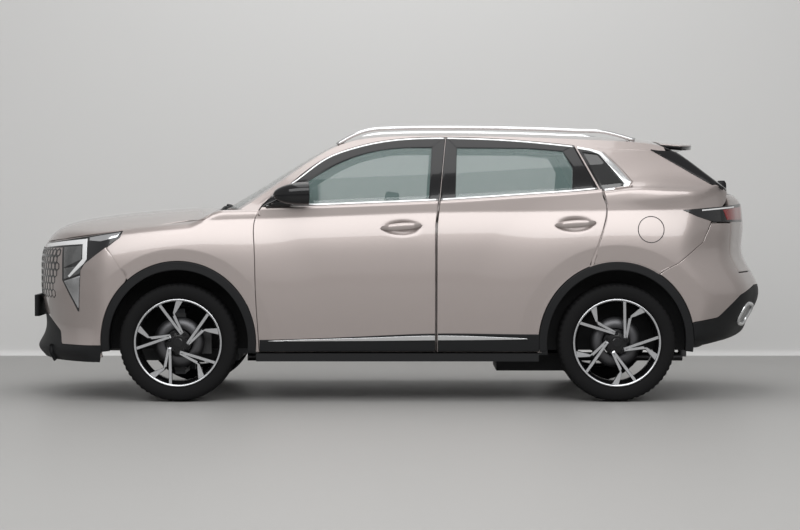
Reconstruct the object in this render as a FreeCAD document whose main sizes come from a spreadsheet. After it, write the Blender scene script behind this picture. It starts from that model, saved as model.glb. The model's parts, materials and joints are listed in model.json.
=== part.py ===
import FreeCAD
import Part
import Sketcher
import math
import os
import sys

# A five-door crossover car. The frame stands on the ground at mid length:
# +X points to the rear, +Y to the car's right side and +Z up.

V = FreeCAD.Vector
doc = FreeCAD.newDocument("CrossoverCar")

# Driving dimensions in millimetres: name, value
SIZES = [
    ("half_length", 2299), ("half_width", 927), ("roof_height", 1655),
    ("wheelbase", 2670), ("front_axle_place", -1335), ("middle_shift", 8), ("track", 1600),
    ("tyre_radius", 360), ("tyre_width", 225), ("tyre_rim_seat", 258),
    ("tyre_shoulder", 26), ("tread_crown", 4),
    ("bead_inset", 17.5), ("sidewall_bulge", 40), ("tyre_wall", 12), ("rim_well", 246),
    ("upright_deep", 45), ("upright_out", 10), ("tower_high", 415), ("trail_long", 404.7), ("liner_outer", 870),
    ("rim_radius", 268), ("rim_width", 205), ("rim_wall", 8), ("rim_face_depth", 34),
    ("spoke_width", 40), ("spoke_spread", 66), ("hub_radius", 82), ("hub_thick", 40),
    ("bore_radius", 34), ("disc_radius", 165), ("disc_thick", 24), ("disc_place", 48),
    ("seat_gap", 0.3), ("part_gap", 0.9), ("cowl_gap", 12), ("move_gap", 6), ("seam_gap", 0.6), ("overrun", 60),
    ("sill_height", 300), ("body_floor", 225),
    ("lower_wall", 120), ("upper_wall", 45), ("front_wall", 30), ("pillar_wall", 40),
    ("trim_proud", 8), ("glass_depth", 6), ("glass_thick", 5),
    ("rail_wall", 60), ("roof_wall", 45), ("frame_lap", 10), ("belt_rise", 12),
    ("frame_rise", 95),
    ("arch_outer_wide", 475), ("arch_outer_high", 497),
    ("arch_inner_wide", 421), ("arch_inner_high", 440), ("arch_seat", 22),
    ("front_house_wall", 480), ("rear_house_wall", 630), ("liner_thick", 5),
    ("steer_axis_place", 735), ("roof_panel_half", 565),
    ("nose_sweep", 0.38), ("tail_sweep", 0.30),
    ("floor_height", 269), ("floor_thick", 30), ("floor_half", 735), ("floor_step", 900), ("boot_height", 480), ("floor_front", -1002),
    ("floor_rear", 1900), ("firewall_thick", 30), ("firewall_top", 1080), ("tunnel_half", 110),
    ("tunnel_height", 140), ("sill_trim_height", 48), ("sill_trim_deep", 154.7),
    ("sill_trim_half", 890),
    ("engine_long", 520), ("engine_wide", 900), ("engine_high", 560), ("engine_place", -1930),
    ("engine_gap", 0.3),
    ("tank_long", 480), ("tank_wide", 560), ("tank_side", -450), ("tank_high", 110), ("tank_place", 620),
    ("pipe_radius", 28), ("pipe_height", 205), ("pipe_side", 200), ("pipe_front", -980), ("hanger_wide", 24),
    ("muffler_radius", 85), ("muffler_long", 900), ("muffler_place", 1860),
    ("muffler_height", 388), ("tip_radius", 40), ("tip_rear", 2100), ("tip_side", 590),
    ("tip_height", 505), ("tip_start_side", 400),
    ("beam_radius", 45), ("beam_height", 330), ("beam_half", 600), ("arm_wide", 60),
    ("arm_thick", 26), ("ball_height_low", 160), ("ball_height_high", 535),
    ("upright_wide", 70), ("stub_radius", 33.5), ("stub_long", 60), ("arm_root", 330),
    ("subframe_long", 692), ("subframe_high", 70), ("subframe_base", 215),
    ("caliper_long", 150), ("caliper_deep", 70), ("caliper_thick", 55),
    ("seat_wide", 500), ("seat_side", 370), ("seat_long", 500), ("seat_height", 560),
    ("cushion_thick", 150), ("back_thick", 130), ("back_high", 600), ("head_high", 170),
    ("head_wide", 260), ("front_seat_place", -120), ("rear_seat_place", 800),
    ("bench_wide", 1240), ("dash_rear", -535), ("dash_long", 436.7), ("dash_high", 230),
    ("dash_base", 850), ("dash_half", 700), ("wheel_ring_radius", 180), ("ring_radius", 15),
    ("ring_place", -395), ("ring_height", 985), ("ring_side", 370), ("column_radius", 24),
    ("column_long", 190), ("column_gap", 0.6), ("ring_tilt", 65),
    ("rail_radius", 15), ("rail_side", 590), ("rail_lift", 52), ("rail_front", -350),
    ("rail_rear", 1440),
    ("plate_wide", 470), ("plate_high", 140), ("plate_thick", 31.6), ("plate_base", 488),
    ("plate_front", -2307), ("plate_bolt_radius", 3.5), ("plate_bolt_side", 140),
    ("mirror_wide", 180), ("mirror_inner", 878), ("mirror_round", 16), ("mirror_foot", 32),
    ("tunnel_end", 285), ("trim_deep", 70), ("liner_notch", 55), ("low_opening", 640),
    ("door_skin", 26), ("door_step", 18), ("frame_skin", 14), ("frame_step", 10),
    ("step_lap", 3), ("wing_thick", 60), ("wing_half", 560), ("mirror_lap", 11),
]

sheet = doc.addObject("Spreadsheet::Sheet", "Sizes")
for row, (name, value) in enumerate(SIZES, 1):
    sheet.set("A%d" % row, name)
    sheet.set("B%d" % row, str(value))
    sheet.setAlias("B%d" % row, name)
doc.recompute()


class Measure:
    """A length that carries its value and the expression that a property is bound to."""

    def __init__(self, value, text):
        self.value = float(value)
        self.text = text

    def join(self, other, sign, result):
        other_text = other.text if isinstance(other, Measure) else repr(other)
        return Measure(result, "(%s %s %s)" % (self.text, sign, other_text))

    def __add__(self, other):
        return self.join(other, "+", self.value + plain(other))

    def __sub__(self, other):
        return self.join(other, "-", self.value - plain(other))

    def __mul__(self, other):
        return self.join(other, "*", self.value * plain(other))

    def __truediv__(self, other):
        return self.join(other, "/", self.value / plain(other))

    def __neg__(self):
        return Measure(-self.value, "(-%s)" % self.text)


def plain(size):
    return size.value if isinstance(size, Measure) else float(size)


class Named:
    pass


m = Named()
n = Named()
for name, value in SIZES:
    setattr(m, name, Measure(sheet.get(name), "Sizes." + name))
    setattr(n, name, float(sheet.get(name)))

nodes = []


def keep(obj, label):
    obj.Label = label
    nodes.append(obj)
    return obj


def bind(obj, **sizes):
    for prop, size in sizes.items():
        if isinstance(size, Measure):
            obj.setExpression(prop, size.text)
        else:
            setattr(obj, prop, size)
    return obj


def place(obj, x=0, y=0, z=0, axis=None, angle=0):
    turn = FreeCAD.Rotation(axis, angle) if axis else FreeCAD.Rotation()
    obj.Placement = FreeCAD.Placement(V(plain(x), plain(y), plain(z)), turn)
    for letter, size in zip("xyz", (x, y, z)):
        if isinstance(size, Measure):
            obj.setExpression("Placement.Base." + letter, size.text)
    return obj


def primitive(kind, name, **sizes):
    return bind(doc.addObject("Part::" + kind, name), **sizes)


def scripted(label, shape):
    obj = doc.addObject("Part::Feature", label)
    obj.Shape = shape
    obj.Placement = FreeCAD.Placement()
    return keep(obj, label)


# Curves and surfaces

def smooth(points):
    """Natural cubic spline through (position, value) pairs, straight beyond its ends."""
    xs = [p[0] for p in points]
    ys = [p[1] for p in points]
    count = len(xs)
    gaps = [xs[i + 1] - xs[i] for i in range(count - 1)]
    slopes = [(ys[i + 1] - ys[i]) / gaps[i] for i in range(count - 1)]
    diag = [1.0] * count
    right = [0.0] * count
    upper = [0.0] * count
    for i in range(1, count - 1):
        diag[i] = 2 * (gaps[i - 1] + gaps[i]) - gaps[i - 1] * upper[i - 1]
        upper[i] = gaps[i] / diag[i]
        right[i] = (6 * (slopes[i] - slopes[i - 1]) - gaps[i - 1] * right[i - 1]) / diag[i]
    bends = [0.0] * count
    for i in range(count - 2, 0, -1):
        bends[i] = right[i] - upper[i] * bends[i + 1]

    def value(x):
        if x <= xs[0]:
            slope = slopes[0] - gaps[0] * bends[1] / 6
            return ys[0] + slope * (x - xs[0])
        if x >= xs[-1]:
            slope = slopes[-1] + gaps[-1] * bends[-2] / 6
            return ys[-1] + slope * (x - xs[-1])
        i = 0
        while x > xs[i + 1]:
            i += 1
        a = (xs[i + 1] - x) / gaps[i]
        b = 1 - a
        bow = (a ** 3 - a) * bends[i] + (b ** 3 - b) * bends[i + 1]
        return a * ys[i] + b * ys[i + 1] + bow * gaps[i] ** 2 / 6

    return value


def along(share):
    """A place along the car from its share of half the length."""
    return share * n.half_length + n.middle_shift


def lengths(shares):
    """A profile's (x, z) shares of half the length and the roof's height, as lengths."""
    return [(along(x), z * n.roof_height) for x, z in shares]


def step_up(low, high, x):
    share = min(max((x - low) / (high - low), 0), 1)
    return share * share * (3 - 2 * share)


# Side profile lines, each as shares of half length and roof height
roof_line_shares = [(-0.600, 0.580), (-0.471, 0.716), (-0.348, 0.822), (-0.243, 0.911),
                    (-0.174, 0.959), (-0.120, 0.982), (-0.050, 0.995), (0.065, 1.0),
                    (0.217, 0.9995), (0.391, 0.994), (0.565, 0.984), (0.652, 0.976),
                    (0.696, 0.966), (0.735, 0.944), (0.826, 0.855), (0.902, 0.781)]
bonnet_line_shares = [(-1.0, 0.553), (-0.972, 0.599), (-0.949, 0.627), (-0.907, 0.654),
                      (-0.837, 0.674), (-0.697, 0.697), (-0.537, 0.713), (-0.471, 0.718)]
belt_line_shares = [(-0.5, 0.706), (-0.235, 0.713), (-0.066, 0.722), (0.106, 0.732),
                    (0.351, 0.754), (0.530, 0.774), (0.609, 0.788)]
tail_top_shares = [(0.609, 0.788), (0.783, 0.787), (0.870, 0.783), (0.909, 0.776),
                   (0.935, 0.752), (0.951, 0.731), (0.974, 0.695)]
crease_line_shares = [(-0.85, 0.612), (-0.731, 0.630), (-0.478, 0.668), (-0.370, 0.673),
                      (0.089, 0.696), (0.549, 0.702), (0.750, 0.708), (0.95, 0.712)]
# Nose and tail on the centre line: (height share, x share)
nose_shares = [(0.13, -0.975), (0.148, -0.985), (0.183, -1.003), (0.208, -0.996),
               (0.24, -0.985), (0.30, -0.983), (0.34, -0.988), (0.39, -0.994),
               (0.46, -0.995), (0.53, -0.993), (0.562, -0.987), (0.600, -0.974), (0.665, -0.957)]
tail_shares = [(0.13, 0.82), (0.19, 0.86), (0.215, 0.92), (0.27, 0.965), (0.363, 0.998),
               (0.41, 0.9995), (0.46, 0.984), (0.53, 0.957), (0.62, 0.957), (0.69, 0.955),
               (0.76, 0.948)]
# Plan of the widest line: (x share of half length, share of half width)
plan_shares = [(-1.0, 0.90), (-0.85, 0.945), (-0.75, 0.972), (-0.584, 0.997), (-0.40, 0.995),
               (0.0, 0.992), (0.40, 0.999), (0.577, 1.0), (0.70, 0.985), (0.85, 0.938),
               (1.0, 0.87)]
# Section below the crease: (share of the crease's height over the sill, inset share of width)
section_shares = [(-0.12, 0.085), (0.0, 0.060), (0.12, 0.040), (0.30, 0.014), (0.50, 0.001),
                  (0.66, 0.002), (0.82, 0.012), (1.0, 0.040)]
section_column_shares = [0.0, 0.14, 0.28, 0.42, 0.56, 0.70, 0.82, 0.92, 1.0]
side_low_share = 0.09
side_high_share = 0.86
side_rise_share = 0.05
crease_lean_share = 0.16
# Greenhouse: plan at the belt, and its lean inward
house_plan_shares = [(-0.6, 0.80), (-0.45, 0.855), (-0.30, 0.905), (-0.1, 0.932), (0.2, 0.940),
                     (0.45, 0.930), (0.65, 0.885), (0.8, 0.825), (0.95, 0.755)]
house_lean_share = 0.36
house_bow_share = 0.26
front_crown_share = 0.093
roof_crown_share = 0.070
screen_crown_share = 0.13
sweep_power_share = 0.25
sweep_rise_share = 0.55
tail_power_share = 0.35
tail_rise_share = 0.5
house_rear_share = 0.905
side_inner_share = 0.35

roof_line = smooth(lengths(roof_line_shares))
bonnet_line = smooth(lengths(bonnet_line_shares))
belt_line = smooth(lengths(belt_line_shares))
tail_top = smooth(lengths(tail_top_shares))
crease_line = smooth(lengths(crease_line_shares))
nose_line = smooth([(z * n.roof_height, along(x)) for z, x in nose_shares])
tail_line = smooth([(z * n.roof_height, along(x)) for z, x in tail_shares])
plan_line = smooth([(along(x), w * n.half_width) for x, w in plan_shares])
section_line = smooth([(u, w * n.half_width) for u, w in section_shares])
house_plan = smooth([(along(x), w * n.half_width) for x, w in house_plan_shares])


def nose_sweep(y):
    share = y / n.half_width
    bow = n.nose_sweep * 0.93 * share ** 2 + sweep_power_share * 0.80 * share ** 4
    return bow * n.half_width


def tail_sweep(y):
    share = y / n.half_width
    bow = n.tail_sweep * 0.93 * share ** 2 + tail_power_share * 0.80 * share ** 4
    return bow * n.half_width


def side_half(x, z):
    """Half width of the lower body at a place on its side."""
    crease = crease_line(x)
    share = (z - n.sill_height) / (crease - n.sill_height)
    if share <= 1:
        return plan_line(x) - section_line(share)
    return plan_line(x) - section_line(1) - crease_lean_share * (z - crease)


def top_height(x, y):
    """Height of the lower body's top: bonnet, shoulder under the glass, then tail deck."""
    side_share = (y / n.half_width) ** 2
    front = bonnet_line(x - sweep_rise_share * nose_sweep(y))
    front -= front_crown_share * n.half_width * side_share
    cabin = belt_line(x)
    rear = tail_top(x + tail_rise_share * tail_sweep(y))
    rear -= 0.055 * n.half_width * side_share
    to_cabin = step_up(along(-0.46), along(-0.36), x)
    to_rear = step_up(along(0.56), along(0.72), x)
    height = front * (1 - to_cabin) + cabin * to_cabin
    return height * (1 - to_rear) + rear * to_rear


def house_half(x, z):
    """Half width of the greenhouse, leaning in from the belt to the roof."""
    rise = (z - belt_line(x)) / n.roof_height
    lean = house_lean_share * rise
    if rise > 0:
        lean += house_bow_share * 2.5 * rise ** 2
    return house_plan(x) - lean * n.roof_height


def house_top(x, y):
    to_roof = step_up(along(-0.45), along(-0.1), x)
    crown = screen_crown_share * (1 - to_roof) + roof_crown_share * to_roof
    return roof_line(x) - crown * n.half_width * (y / n.half_width) ** 2


def spread(low, high, count):
    return [low + (high - low) * i / (count - 1) for i in range(count)]


def sheet_solid(rows, reach):
    """A smooth surface through rows of points, carried along a vector to a solid."""
    surface = Part.BSplineSurface()
    surface.interpolate(rows)
    return surface.toShape().extrude(reach)


def both_sides(rows):
    """The solid between a smooth left side through rows of points and its mirror image."""
    mirror_rows = [[V(p.x, -p.y, p.z) for p in row] for row in rows]
    left = Part.BSplineSurface()
    left.interpolate(rows)
    right = Part.BSplineSurface()
    right.interpolate(mirror_rows)
    faces = [left.toShape(), right.toShape()]
    u0, u1, v0, v1 = left.bounds()
    for border in (lambda s: s.uIso(u0), lambda s: s.uIso(u1),
                   lambda s: s.vIso(v0), lambda s: s.vIso(v1)):
        faces.append(Part.makeRuledSurface(border(left).toShape(), border(right).toShape()))
    shell = Part.Shell(faces)
    shell.sewShape()
    solid = Part.Solid(shell)
    if solid.Volume < 0:
        solid.reverse()
    return solid


def side_rows(inset, fine=True):
    """Points of the lower body's left side, moved inward by an inset."""
    long = n.half_length * 1.15
    rows = []
    for x in spread(-long, long, 25 if fine else 13):
        crease = crease_line(x)
        column = section_column_shares if fine else section_column_shares[::2]
        zs = [n.sill_height + u * (crease - n.sill_height) for u in column]
        zs = [side_low_share * n.roof_height] + zs + [crease + side_rise_share * n.roof_height]
        zs.append(side_high_share * n.roof_height)
        rows.append([V(x, inset - side_half(x, z), z) for z in zs])
    return rows


def side_layer(proud, deep):
    """A layer of the left side from a little outside it to a little inside it."""
    return sheet_solid(side_rows(-proud), V(0, proud + deep, 0))


def lower_body(inset, fine=True):
    long = n.half_length * 1.15
    wide = n.half_width * 1.1
    solid = both_sides(side_rows(inset, fine))
    ys = spread(-wide, wide, 9 if fine else 7)
    xs = spread(-long, long, 31 if fine else 16)
    rows = [[V(x, y, top_height(x, y) - inset) for y in ys] for x in xs]
    top = sheet_solid(rows, V(0, 0, -n.roof_height))
    zs = spread(0.11 * n.roof_height, 0.85 * n.roof_height, 23 if fine else 12)
    rows = [[V(nose_line(z) + nose_sweep(y) + inset, y, z) for y in ys] for z in zs]
    nose = sheet_solid(rows, V(3 * n.half_length, 0, 0))
    rows = [[V(tail_line(z) - tail_sweep(y) - inset, y, z) for y in ys] for z in zs]
    tail = sheet_solid(rows, V(-3 * n.half_length, 0, 0))
    base = block(-long, long, -wide, wide, n.body_floor + inset, n.roof_height)
    for other in (top, nose, tail, base):
        solid = solid.common(other)
    return solid


def house_rows(inset):
    """Points of the greenhouse's left side, moved inward by an inset."""
    zs = spread(0.50 * n.roof_height, 1.1 * n.roof_height, 9)
    xs = spread(along(-0.75), along(1.0), 15)
    return [[V(x, inset - house_half(x, z), z) for z in zs] for x in xs]


def house_layer(outer, inner):
    """A layer of the greenhouse's left side between two depths."""
    return sheet_solid(house_rows(outer), V(0, inner - outer, 0))


def roof_rows(drop):
    """Points of windscreen, roof and back window, lowered by a drop."""
    ys = spread(-n.half_width, n.half_width, 7)
    xs = spread(along(-0.65), along(0.95), 39)
    return [[V(x, y, house_top(x, y) - drop) for y in ys] for x in xs]


def roof_layer(upper, lower):
    return sheet_solid(roof_rows(upper), V(0, 0, upper - lower))


def block(x0, x1, y0, y1, z0, z1):
    return Part.makeBox(x1 - x0, y1 - y0, z1 - z0, V(x0, y0, z0))


def shifted(shape, x, y, z):
    moved = shape.copy()
    moved.translate(V(x, y, z))
    return moved


def path_wire(strokes, to_point):
    """A closed wire of strokes: two points make a line, more make a smooth curve."""
    edges = []
    for stroke in strokes:
        points = [to_point(p) for p in stroke]
        if len(points) == 2:
            edges.append(Part.LineSegment(points[0], points[1]).toShape())
        else:
            curve = Part.BSplineCurve()
            curve.interpolate(points)
            edges.append(curve.toShape())
    return Part.Wire(Part.__sortEdges__(edges))


def side_prism(strokes, y0, y1):
    """What an outline in side view, as shares of length and height, covers from y0 to y1."""
    wire = path_wire(strokes, lambda p: V(along(p[0]), y0, p[1] * n.roof_height))
    return Part.Face(wire).extrude(V(0, y1 - y0, 0))


def plan_prism(strokes, z0, z1):
    wire = path_wire(strokes, lambda p: V(along(p[0]), p[1] * n.half_width, z0))
    return Part.Face(wire).extrude(V(0, 0, z1 - z0))


def closed(points):
    """An outline of straight strokes round its points."""
    return [[points[i], points[(i + 1) % len(points)]] for i in range(len(points))]


def moved_outline(strokes, gap):
    """An outline in lengths moved outward by a gap, each corner along its own mitre."""
    runs = [lengths(stroke) for stroke in strokes]
    loop = [point for run in runs for point in run[:-1]]
    area = sum(a[0] * b[1] - b[0] * a[1] for a, b in zip(loop, loop[1:] + loop[:1]))
    turn = 1 if area > 0 else -1
    out = []
    for index, run in enumerate(runs):
        before = runs[index - 1]
        after = runs[(index + 1) % len(runs)]
        line = [before[-2]] + run + [after[1]]
        moved = []
        for k in range(1, len(line) - 1):
            sides = []
            for start, end in ((line[k - 1], line[k]), (line[k], line[k + 1])):
                reach = math.hypot(end[0] - start[0], end[1] - start[1])
                sides.append(((end[1] - start[1]) / reach * turn,
                              (start[0] - end[0]) / reach * turn))
            (ax, az), (bx, bz) = sides
            mitre = gap / (1 + ax * bx + az * bz)
            moved.append((line[k][0] + mitre * (ax + bx), line[k][1] + mitre * (az + bz)))
        out.append([((x - n.middle_shift) / n.half_length, z / n.roof_height)
                    for x, z in moved])
    return out


def grown(strokes, gap, y0, y1):
    """The side prism of an outline moved outward by a gap, or inward where it is negative."""
    return side_prism(moved_outline(strokes, gap), y0, y1)


def ellipse_prism(x, wide, high, y0, y1):
    ellipse = Part.Ellipse(V(0, 0, 0), max(wide, high), min(wide, high)).toShape()
    turn = FreeCAD.Rotation(V(1, 0, 0), V(0, 0, 1), V(0, -1, 0), "ZXY")
    if high < wide:
        turn = FreeCAD.Rotation(V(1, 0, 0), 90)
    wire = Part.Wire([ellipse])
    wire.Placement = FreeCAD.Placement(V(x, y0, n.tyre_radius), turn)
    return Part.Face(wire).extrude(V(0, y1 - y0, 0))


def one(solids):
    return solids[0] if len(solids) == 1 else Part.makeCompound(solids)


def biggest(shape, count=1):
    """The largest solids of a cut, so that slivers past an edge fall away."""
    solids = sorted(shape.Solids, key=lambda part: -part.Volume)
    return one(solids[:count])


def mirrored(shape):
    return shape.mirror(V(0, 0, 0), V(0, 1, 0))


def pair(shape):
    return Part.makeCompound(list(shape.Solids) + list(mirrored(shape).Solids))


LEFT = -1.2 * n.half_width
rear_axle_place = n.front_axle_place + n.wheelbase

# Outlines in side view, as shares of half length and roof height
door_front_edge = [(-0.370, 0.181), (-0.379, 0.411), (-0.3835, 0.594), (-0.381, 0.671),
                   (-0.358, 0.729)]
door_top_front = [(-0.358, 0.729), (-0.283, 0.808), (-0.195, 0.897), (-0.130, 0.933),
                  (-0.068, 0.955), (0.018, 0.971), (0.124, 0.975)]
front_door_shares = [door_front_edge, door_top_front,
                     [(0.124, 0.975), (0.106, 0.733)],
                     [(0.106, 0.733), (0.0985, 0.655), (0.0975, 0.58)],
                     [(0.0975, 0.58), (0.098, 0.181)],
                     [(0.098, 0.181), (-0.370, 0.181)]]
rear_door_shares = [[(0.0985 + 0.003, 0.181), (0.101, 0.58)],
                    [(0.101, 0.58), (0.102, 0.655), (0.1095, 0.733)],
                    [(0.1095, 0.733), (0.1275, 0.975)],
                    [(0.1275, 0.975), (0.271, 0.968), (0.356, 0.959), (0.467, 0.943)],
                    [(0.467, 0.943), (0.530, 0.777)],
                    [(0.530, 0.777), (0.549, 0.722), (0.546, 0.667), (0.506, 0.506)],
                    [(0.506, 0.506), (0.366, 0.181)],
                    [(0.366, 0.181), (0.1015, 0.181)]]
front_window_shares = [[(-0.300, 0.7205), (0.080, 0.7385)], [(0.080, 0.7385), (0.088, 0.936)],
                       [(0.088, 0.936), (-0.020, 0.932), (-0.128, 0.897), (-0.215, 0.835)],
                       [(-0.215, 0.835), (-0.300, 0.758)], [(-0.300, 0.758), (-0.300, 0.7205)]]
rear_window_shares = closed([(0.150, 0.7465), (0.459, 0.7735), (0.462, 0.860),
                             (0.437, 0.922), (0.345, 0.933), (0.155, 0.935)])
quarter_window_shares = closed([(0.541, 0.781), (0.589, 0.790), (0.592, 0.807),
                                (0.529, 0.912), (0.490, 0.919)])
bonnet_shares = closed([(-1.1, 0.56), (-0.972, 0.583), (-0.731, 0.629), (-0.633, 0.648),
                        (-0.514, 0.667), (-0.487, 0.708), (-0.487, 1.1), (-1.1, 1.1)])
headlamp_shares = closed([(-0.978, 0.560), (-0.960, 0.585), (-0.731, 0.627), (-0.737, 0.604),
                          (-0.772, 0.566), (-0.832, 0.505), (-0.844, 0.475), (-0.850, 0.331),
                          (-0.900, 0.442), (-0.904, 0.560)])
fender_cut_shares = closed([(-0.772, 0.564), (-0.713, 0.473), (-0.60, 0.30), (-0.60, 0.1),
                            (0.0, 0.1), (0.0, 0.9), (-0.487, 0.9), (-0.60, 0.9),
                            (-0.72, 0.640)])
front_lower_shares = closed([(-1.1, 0.1), (-0.70, 0.1), (-0.70, 0.208), (-0.905, 0.208),
                             (-0.912, 0.254), (-0.950, 0.300), (-0.972, 0.318), (-1.1, 0.318)])
tail_lamp_shares = closed([(0.750, 0.7075), (0.90, 0.722), (1.1, 0.737), (1.1, 0.657),
                           (0.838, 0.659), (0.79, 0.680)])
rear_bumper_shares = closed([(0.828, 0.662), (0.808, 0.587), (0.739, 0.510), (0.698, 0.480),
                             (0.60, 0.40), (0.60, 0.27), (0.779, 0.289), (0.850, 0.305),
                             (0.915, 0.387), (0.976, 0.422), (1.1, 0.43), (1.1, 0.657),
                             (0.838, 0.657)])
rear_lower_shares = closed([(0.60, 0.27), (0.779, 0.289), (0.850, 0.305), (0.915, 0.387),
                            (0.976, 0.422), (1.1, 0.43), (1.1, 0.1), (0.60, 0.1)])
tailgate_upper_shares = closed([(0.700, 1.1), (0.700, 0.960), (0.715, 0.915), (0.773, 0.839),
                                (0.820, 0.795), (0.87, 0.78), (1.1, 0.74), (1.1, 1.1)])
tailgate_lower_shares = closed([(0.86, 0.79), (1.1, 0.79), (1.1, 0.47), (0.86, 0.47)])
tailgate_half_share = 0.68
back_window_shares = closed([(0.735, -0.58), (0.735, 0.58), (0.86, 0.60), (0.888, 0.45),
                             (0.893, 0.0), (0.888, -0.45), (0.86, -0.60)])
body_high_shares = closed([(-0.487, 0.700), (-0.30, 0.70), (0.60, 0.70), (0.90, 0.70),
                           (0.90, 1.1), (-0.30, 1.1), (-0.487, 0.85)])
quarter_shares = closed([(0.35, 0.181), (0.60, 0.181), (0.96, 0.30), (0.96, 0.80),
                         (0.62, 0.80), (0.535, 0.785), (0.50, 0.70), (0.35, 0.50)])
frame_shares = closed([(-0.395, 0.181), (0.60, 0.181), (0.60, 1.1), (-0.30, 1.1),
                       (-0.395, 0.85)])
wing_line_shares = [(0.55, 0.985), (0.652, 0.976), (0.700, 0.970), (0.760, 0.963), (0.83, 0.953)]
wing_shares = closed([(0.7035, 1.1), (0.806, 1.1), (0.803, 0.943), (0.770, 0.947), (0.735, 0.947),
                      (0.7035, 0.935)])
mirror_shares = closed([(-0.3135, 0.724), (-0.3150, 0.752), (-0.3115, 0.780), (-0.288, 0.807),
                        (-0.258, 0.802), (-0.256, 0.785), (-0.256, 0.724)])
screen_top_share = -0.165
cowl_half_share = 0.78
screen_base_share = -0.470
low_opening_share = 0.87
low_opening_front_share = 0.80
gate_front_share = 0.700

# Whole forms that the panels are cut from
lower_outside = lower_body(0)
front_inside = lower_body(n.front_wall)
front_skin = lower_outside.cut(front_inside)
under_roof = roof_layer(0, n.roof_height)
between_rails = both_sides(house_rows(n.rail_wall))
tail_rows = [[V(tail_line(z) - tail_sweep(y), y, z)
              for y in spread(-n.half_width, n.half_width, 9)]
             for z in spread(0.5 * n.roof_height, 1.1 * n.roof_height, 9)]
before_tail = sheet_solid(tail_rows, V(-3 * n.half_length, 0, 0))
side_inner = -side_inner_share * n.half_width


def arch_cut(x, wall, more=0):
    """The wheel's room on the left side, from the inner wheelhouse wall outward."""
    wide = n.arch_inner_wide + n.arch_seat + more
    high = n.arch_inner_high + n.arch_seat + more
    return ellipse_prism(x, wide, high, LEFT, -wall)


arches = [arch_cut(n.front_axle_place, n.front_house_wall),
          arch_cut(rear_axle_place, n.rear_house_wall)]
trim_edges = [ellipse_prism(x, n.arch_outer_wide + n.move_gap, n.arch_outer_high + n.move_gap,
                            LEFT, -n.rear_house_wall)
              for x in (n.front_axle_place, rear_axle_place)]
core_edges = [ellipse_prism(x, n.arch_outer_wide + n.move_gap + n.door_step,
                            n.arch_outer_high + n.move_gap + n.door_step, LEFT, -n.rear_house_wall)
              for x in (n.front_axle_place, rear_axle_place)]


def both(shape):
    return [shape, mirrored(shape)]


def under_belt(rise):
    """What lies under a line that runs a little above or below the belt line."""
    line = [(x, z + rise / n.roof_height) for x, z in belt_line_shares]
    low = 0.1
    ends = [[line[-1], (line[-1][0], low)], [(line[-1][0], low), (line[0][0], low)],
            [(line[0][0], low), line[0]]]
    return side_prism([line] + ends, LEFT, 0)


# Doors with their windows
door_outlines = {"front": front_door_shares, "rear": rear_door_shares}
window_outlines = {"front": front_window_shares, "rear": rear_window_shares}
door_skin = side_layer(0, n.door_skin)
door_core = sheet_solid(side_rows(n.door_skin - n.step_lap), V(0, n.lower_wall - n.door_skin, 0))
frame_skin = house_layer(0, n.frame_skin)
frame_core = house_layer(n.frame_skin - n.step_lap, n.upper_wall)
pane_layer = house_layer(n.glass_depth, n.glass_depth + n.glass_thick)
low_side = under_belt(n.belt_rise)
not_high_side = under_belt(-n.belt_rise)
for end in ("front", "rear"):
    opening = side_prism(window_outlines[end], LEFT, 0)
    room = grown(door_outlines[end], -n.move_gap / 2, LEFT, side_inner)
    core_room = grown(door_outlines[end], -n.move_gap / 2 - n.door_step, LEFT, side_inner)
    frame_room = grown(door_outlines[end], -n.move_gap / 2 - n.frame_step, LEFT, side_inner)
    lower = door_skin.common(room.common(low_side))
    core = door_core.common(core_room.common(low_side)).cut(core_edges)
    upper = frame_skin.common(room.cut(not_high_side))
    brace = frame_core.common(frame_room.cut(not_high_side))
    panel = lower.fuse([core, upper, brace])
    panel = biggest(panel.cut([opening, trim_edges[0], trim_edges[1]]))
    pane = pane_layer.common(opening)
    for side, door, glass in zip(("left", "right"), both(panel), both(biggest(pane))):
        scripted("%s_door_%s" % (end, side), door)
        scripted("%s_door_window_%s" % (end, side), glass)

# Body sides: pillars, cant rails, quarter panels and door frames
tailgate_room = side_prism(tailgate_upper_shares, LEFT, -LEFT)
gate_half = tailgate_half_share * n.half_width
gate_low = side_prism(tailgate_lower_shares, -gate_half, gate_half)
door_rooms = [grown(outline, n.move_gap / 2, LEFT, side_inner)
              for outline in (front_door_shares, rear_door_shares)]
quarter_hole = side_prism(quarter_window_shares, LEFT, 0)
lamp_room = side_prism(tail_lamp_shares, LEFT, 0)
bumper_room = side_prism(rear_bumper_shares, LEFT, -LEFT)
lower_room = side_prism(rear_lower_shares, LEFT, -LEFT)
high_range = side_prism(body_high_shares, LEFT, side_inner)
rail = house_layer(0, n.rail_wall).common(high_range).common(under_roof).common(before_tail)
rail = rail.cut(door_rooms + [quarter_hole, tailgate_room, lamp_room])
quarter_range = side_prism(quarter_shares, LEFT, side_inner)
quarter = side_layer(0, n.lower_wall + n.move_gap + n.frame_lap).common(quarter_range)
quarter = quarter.common(lower_outside)
quarter = quarter.cut(door_rooms + [quarter_hole, lamp_room, bumper_room, lower_room,
                                    arches[1], gate_low])
frame_range = side_prism(frame_shares, LEFT, side_inner)
frame_hole = [side_prism(moved_outline(outline, -n.pillar_wall), LEFT, 0)
              for outline in (front_door_shares, rear_door_shares)]
frame_start = n.lower_wall + n.move_gap
frame_low = side_layer(-frame_start, frame_start + n.pillar_wall)
frame_low = frame_low.common(frame_range).common(under_belt(n.frame_rise))
inside_roof = roof_layer(n.roof_wall + n.seat_gap, n.roof_height)
frame_high = house_layer(n.upper_wall + n.move_gap, n.upper_wall + n.move_gap + n.pillar_wall)
frame_high = frame_high.common(frame_range).cut(under_belt(n.belt_rise + n.move_gap))
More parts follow.
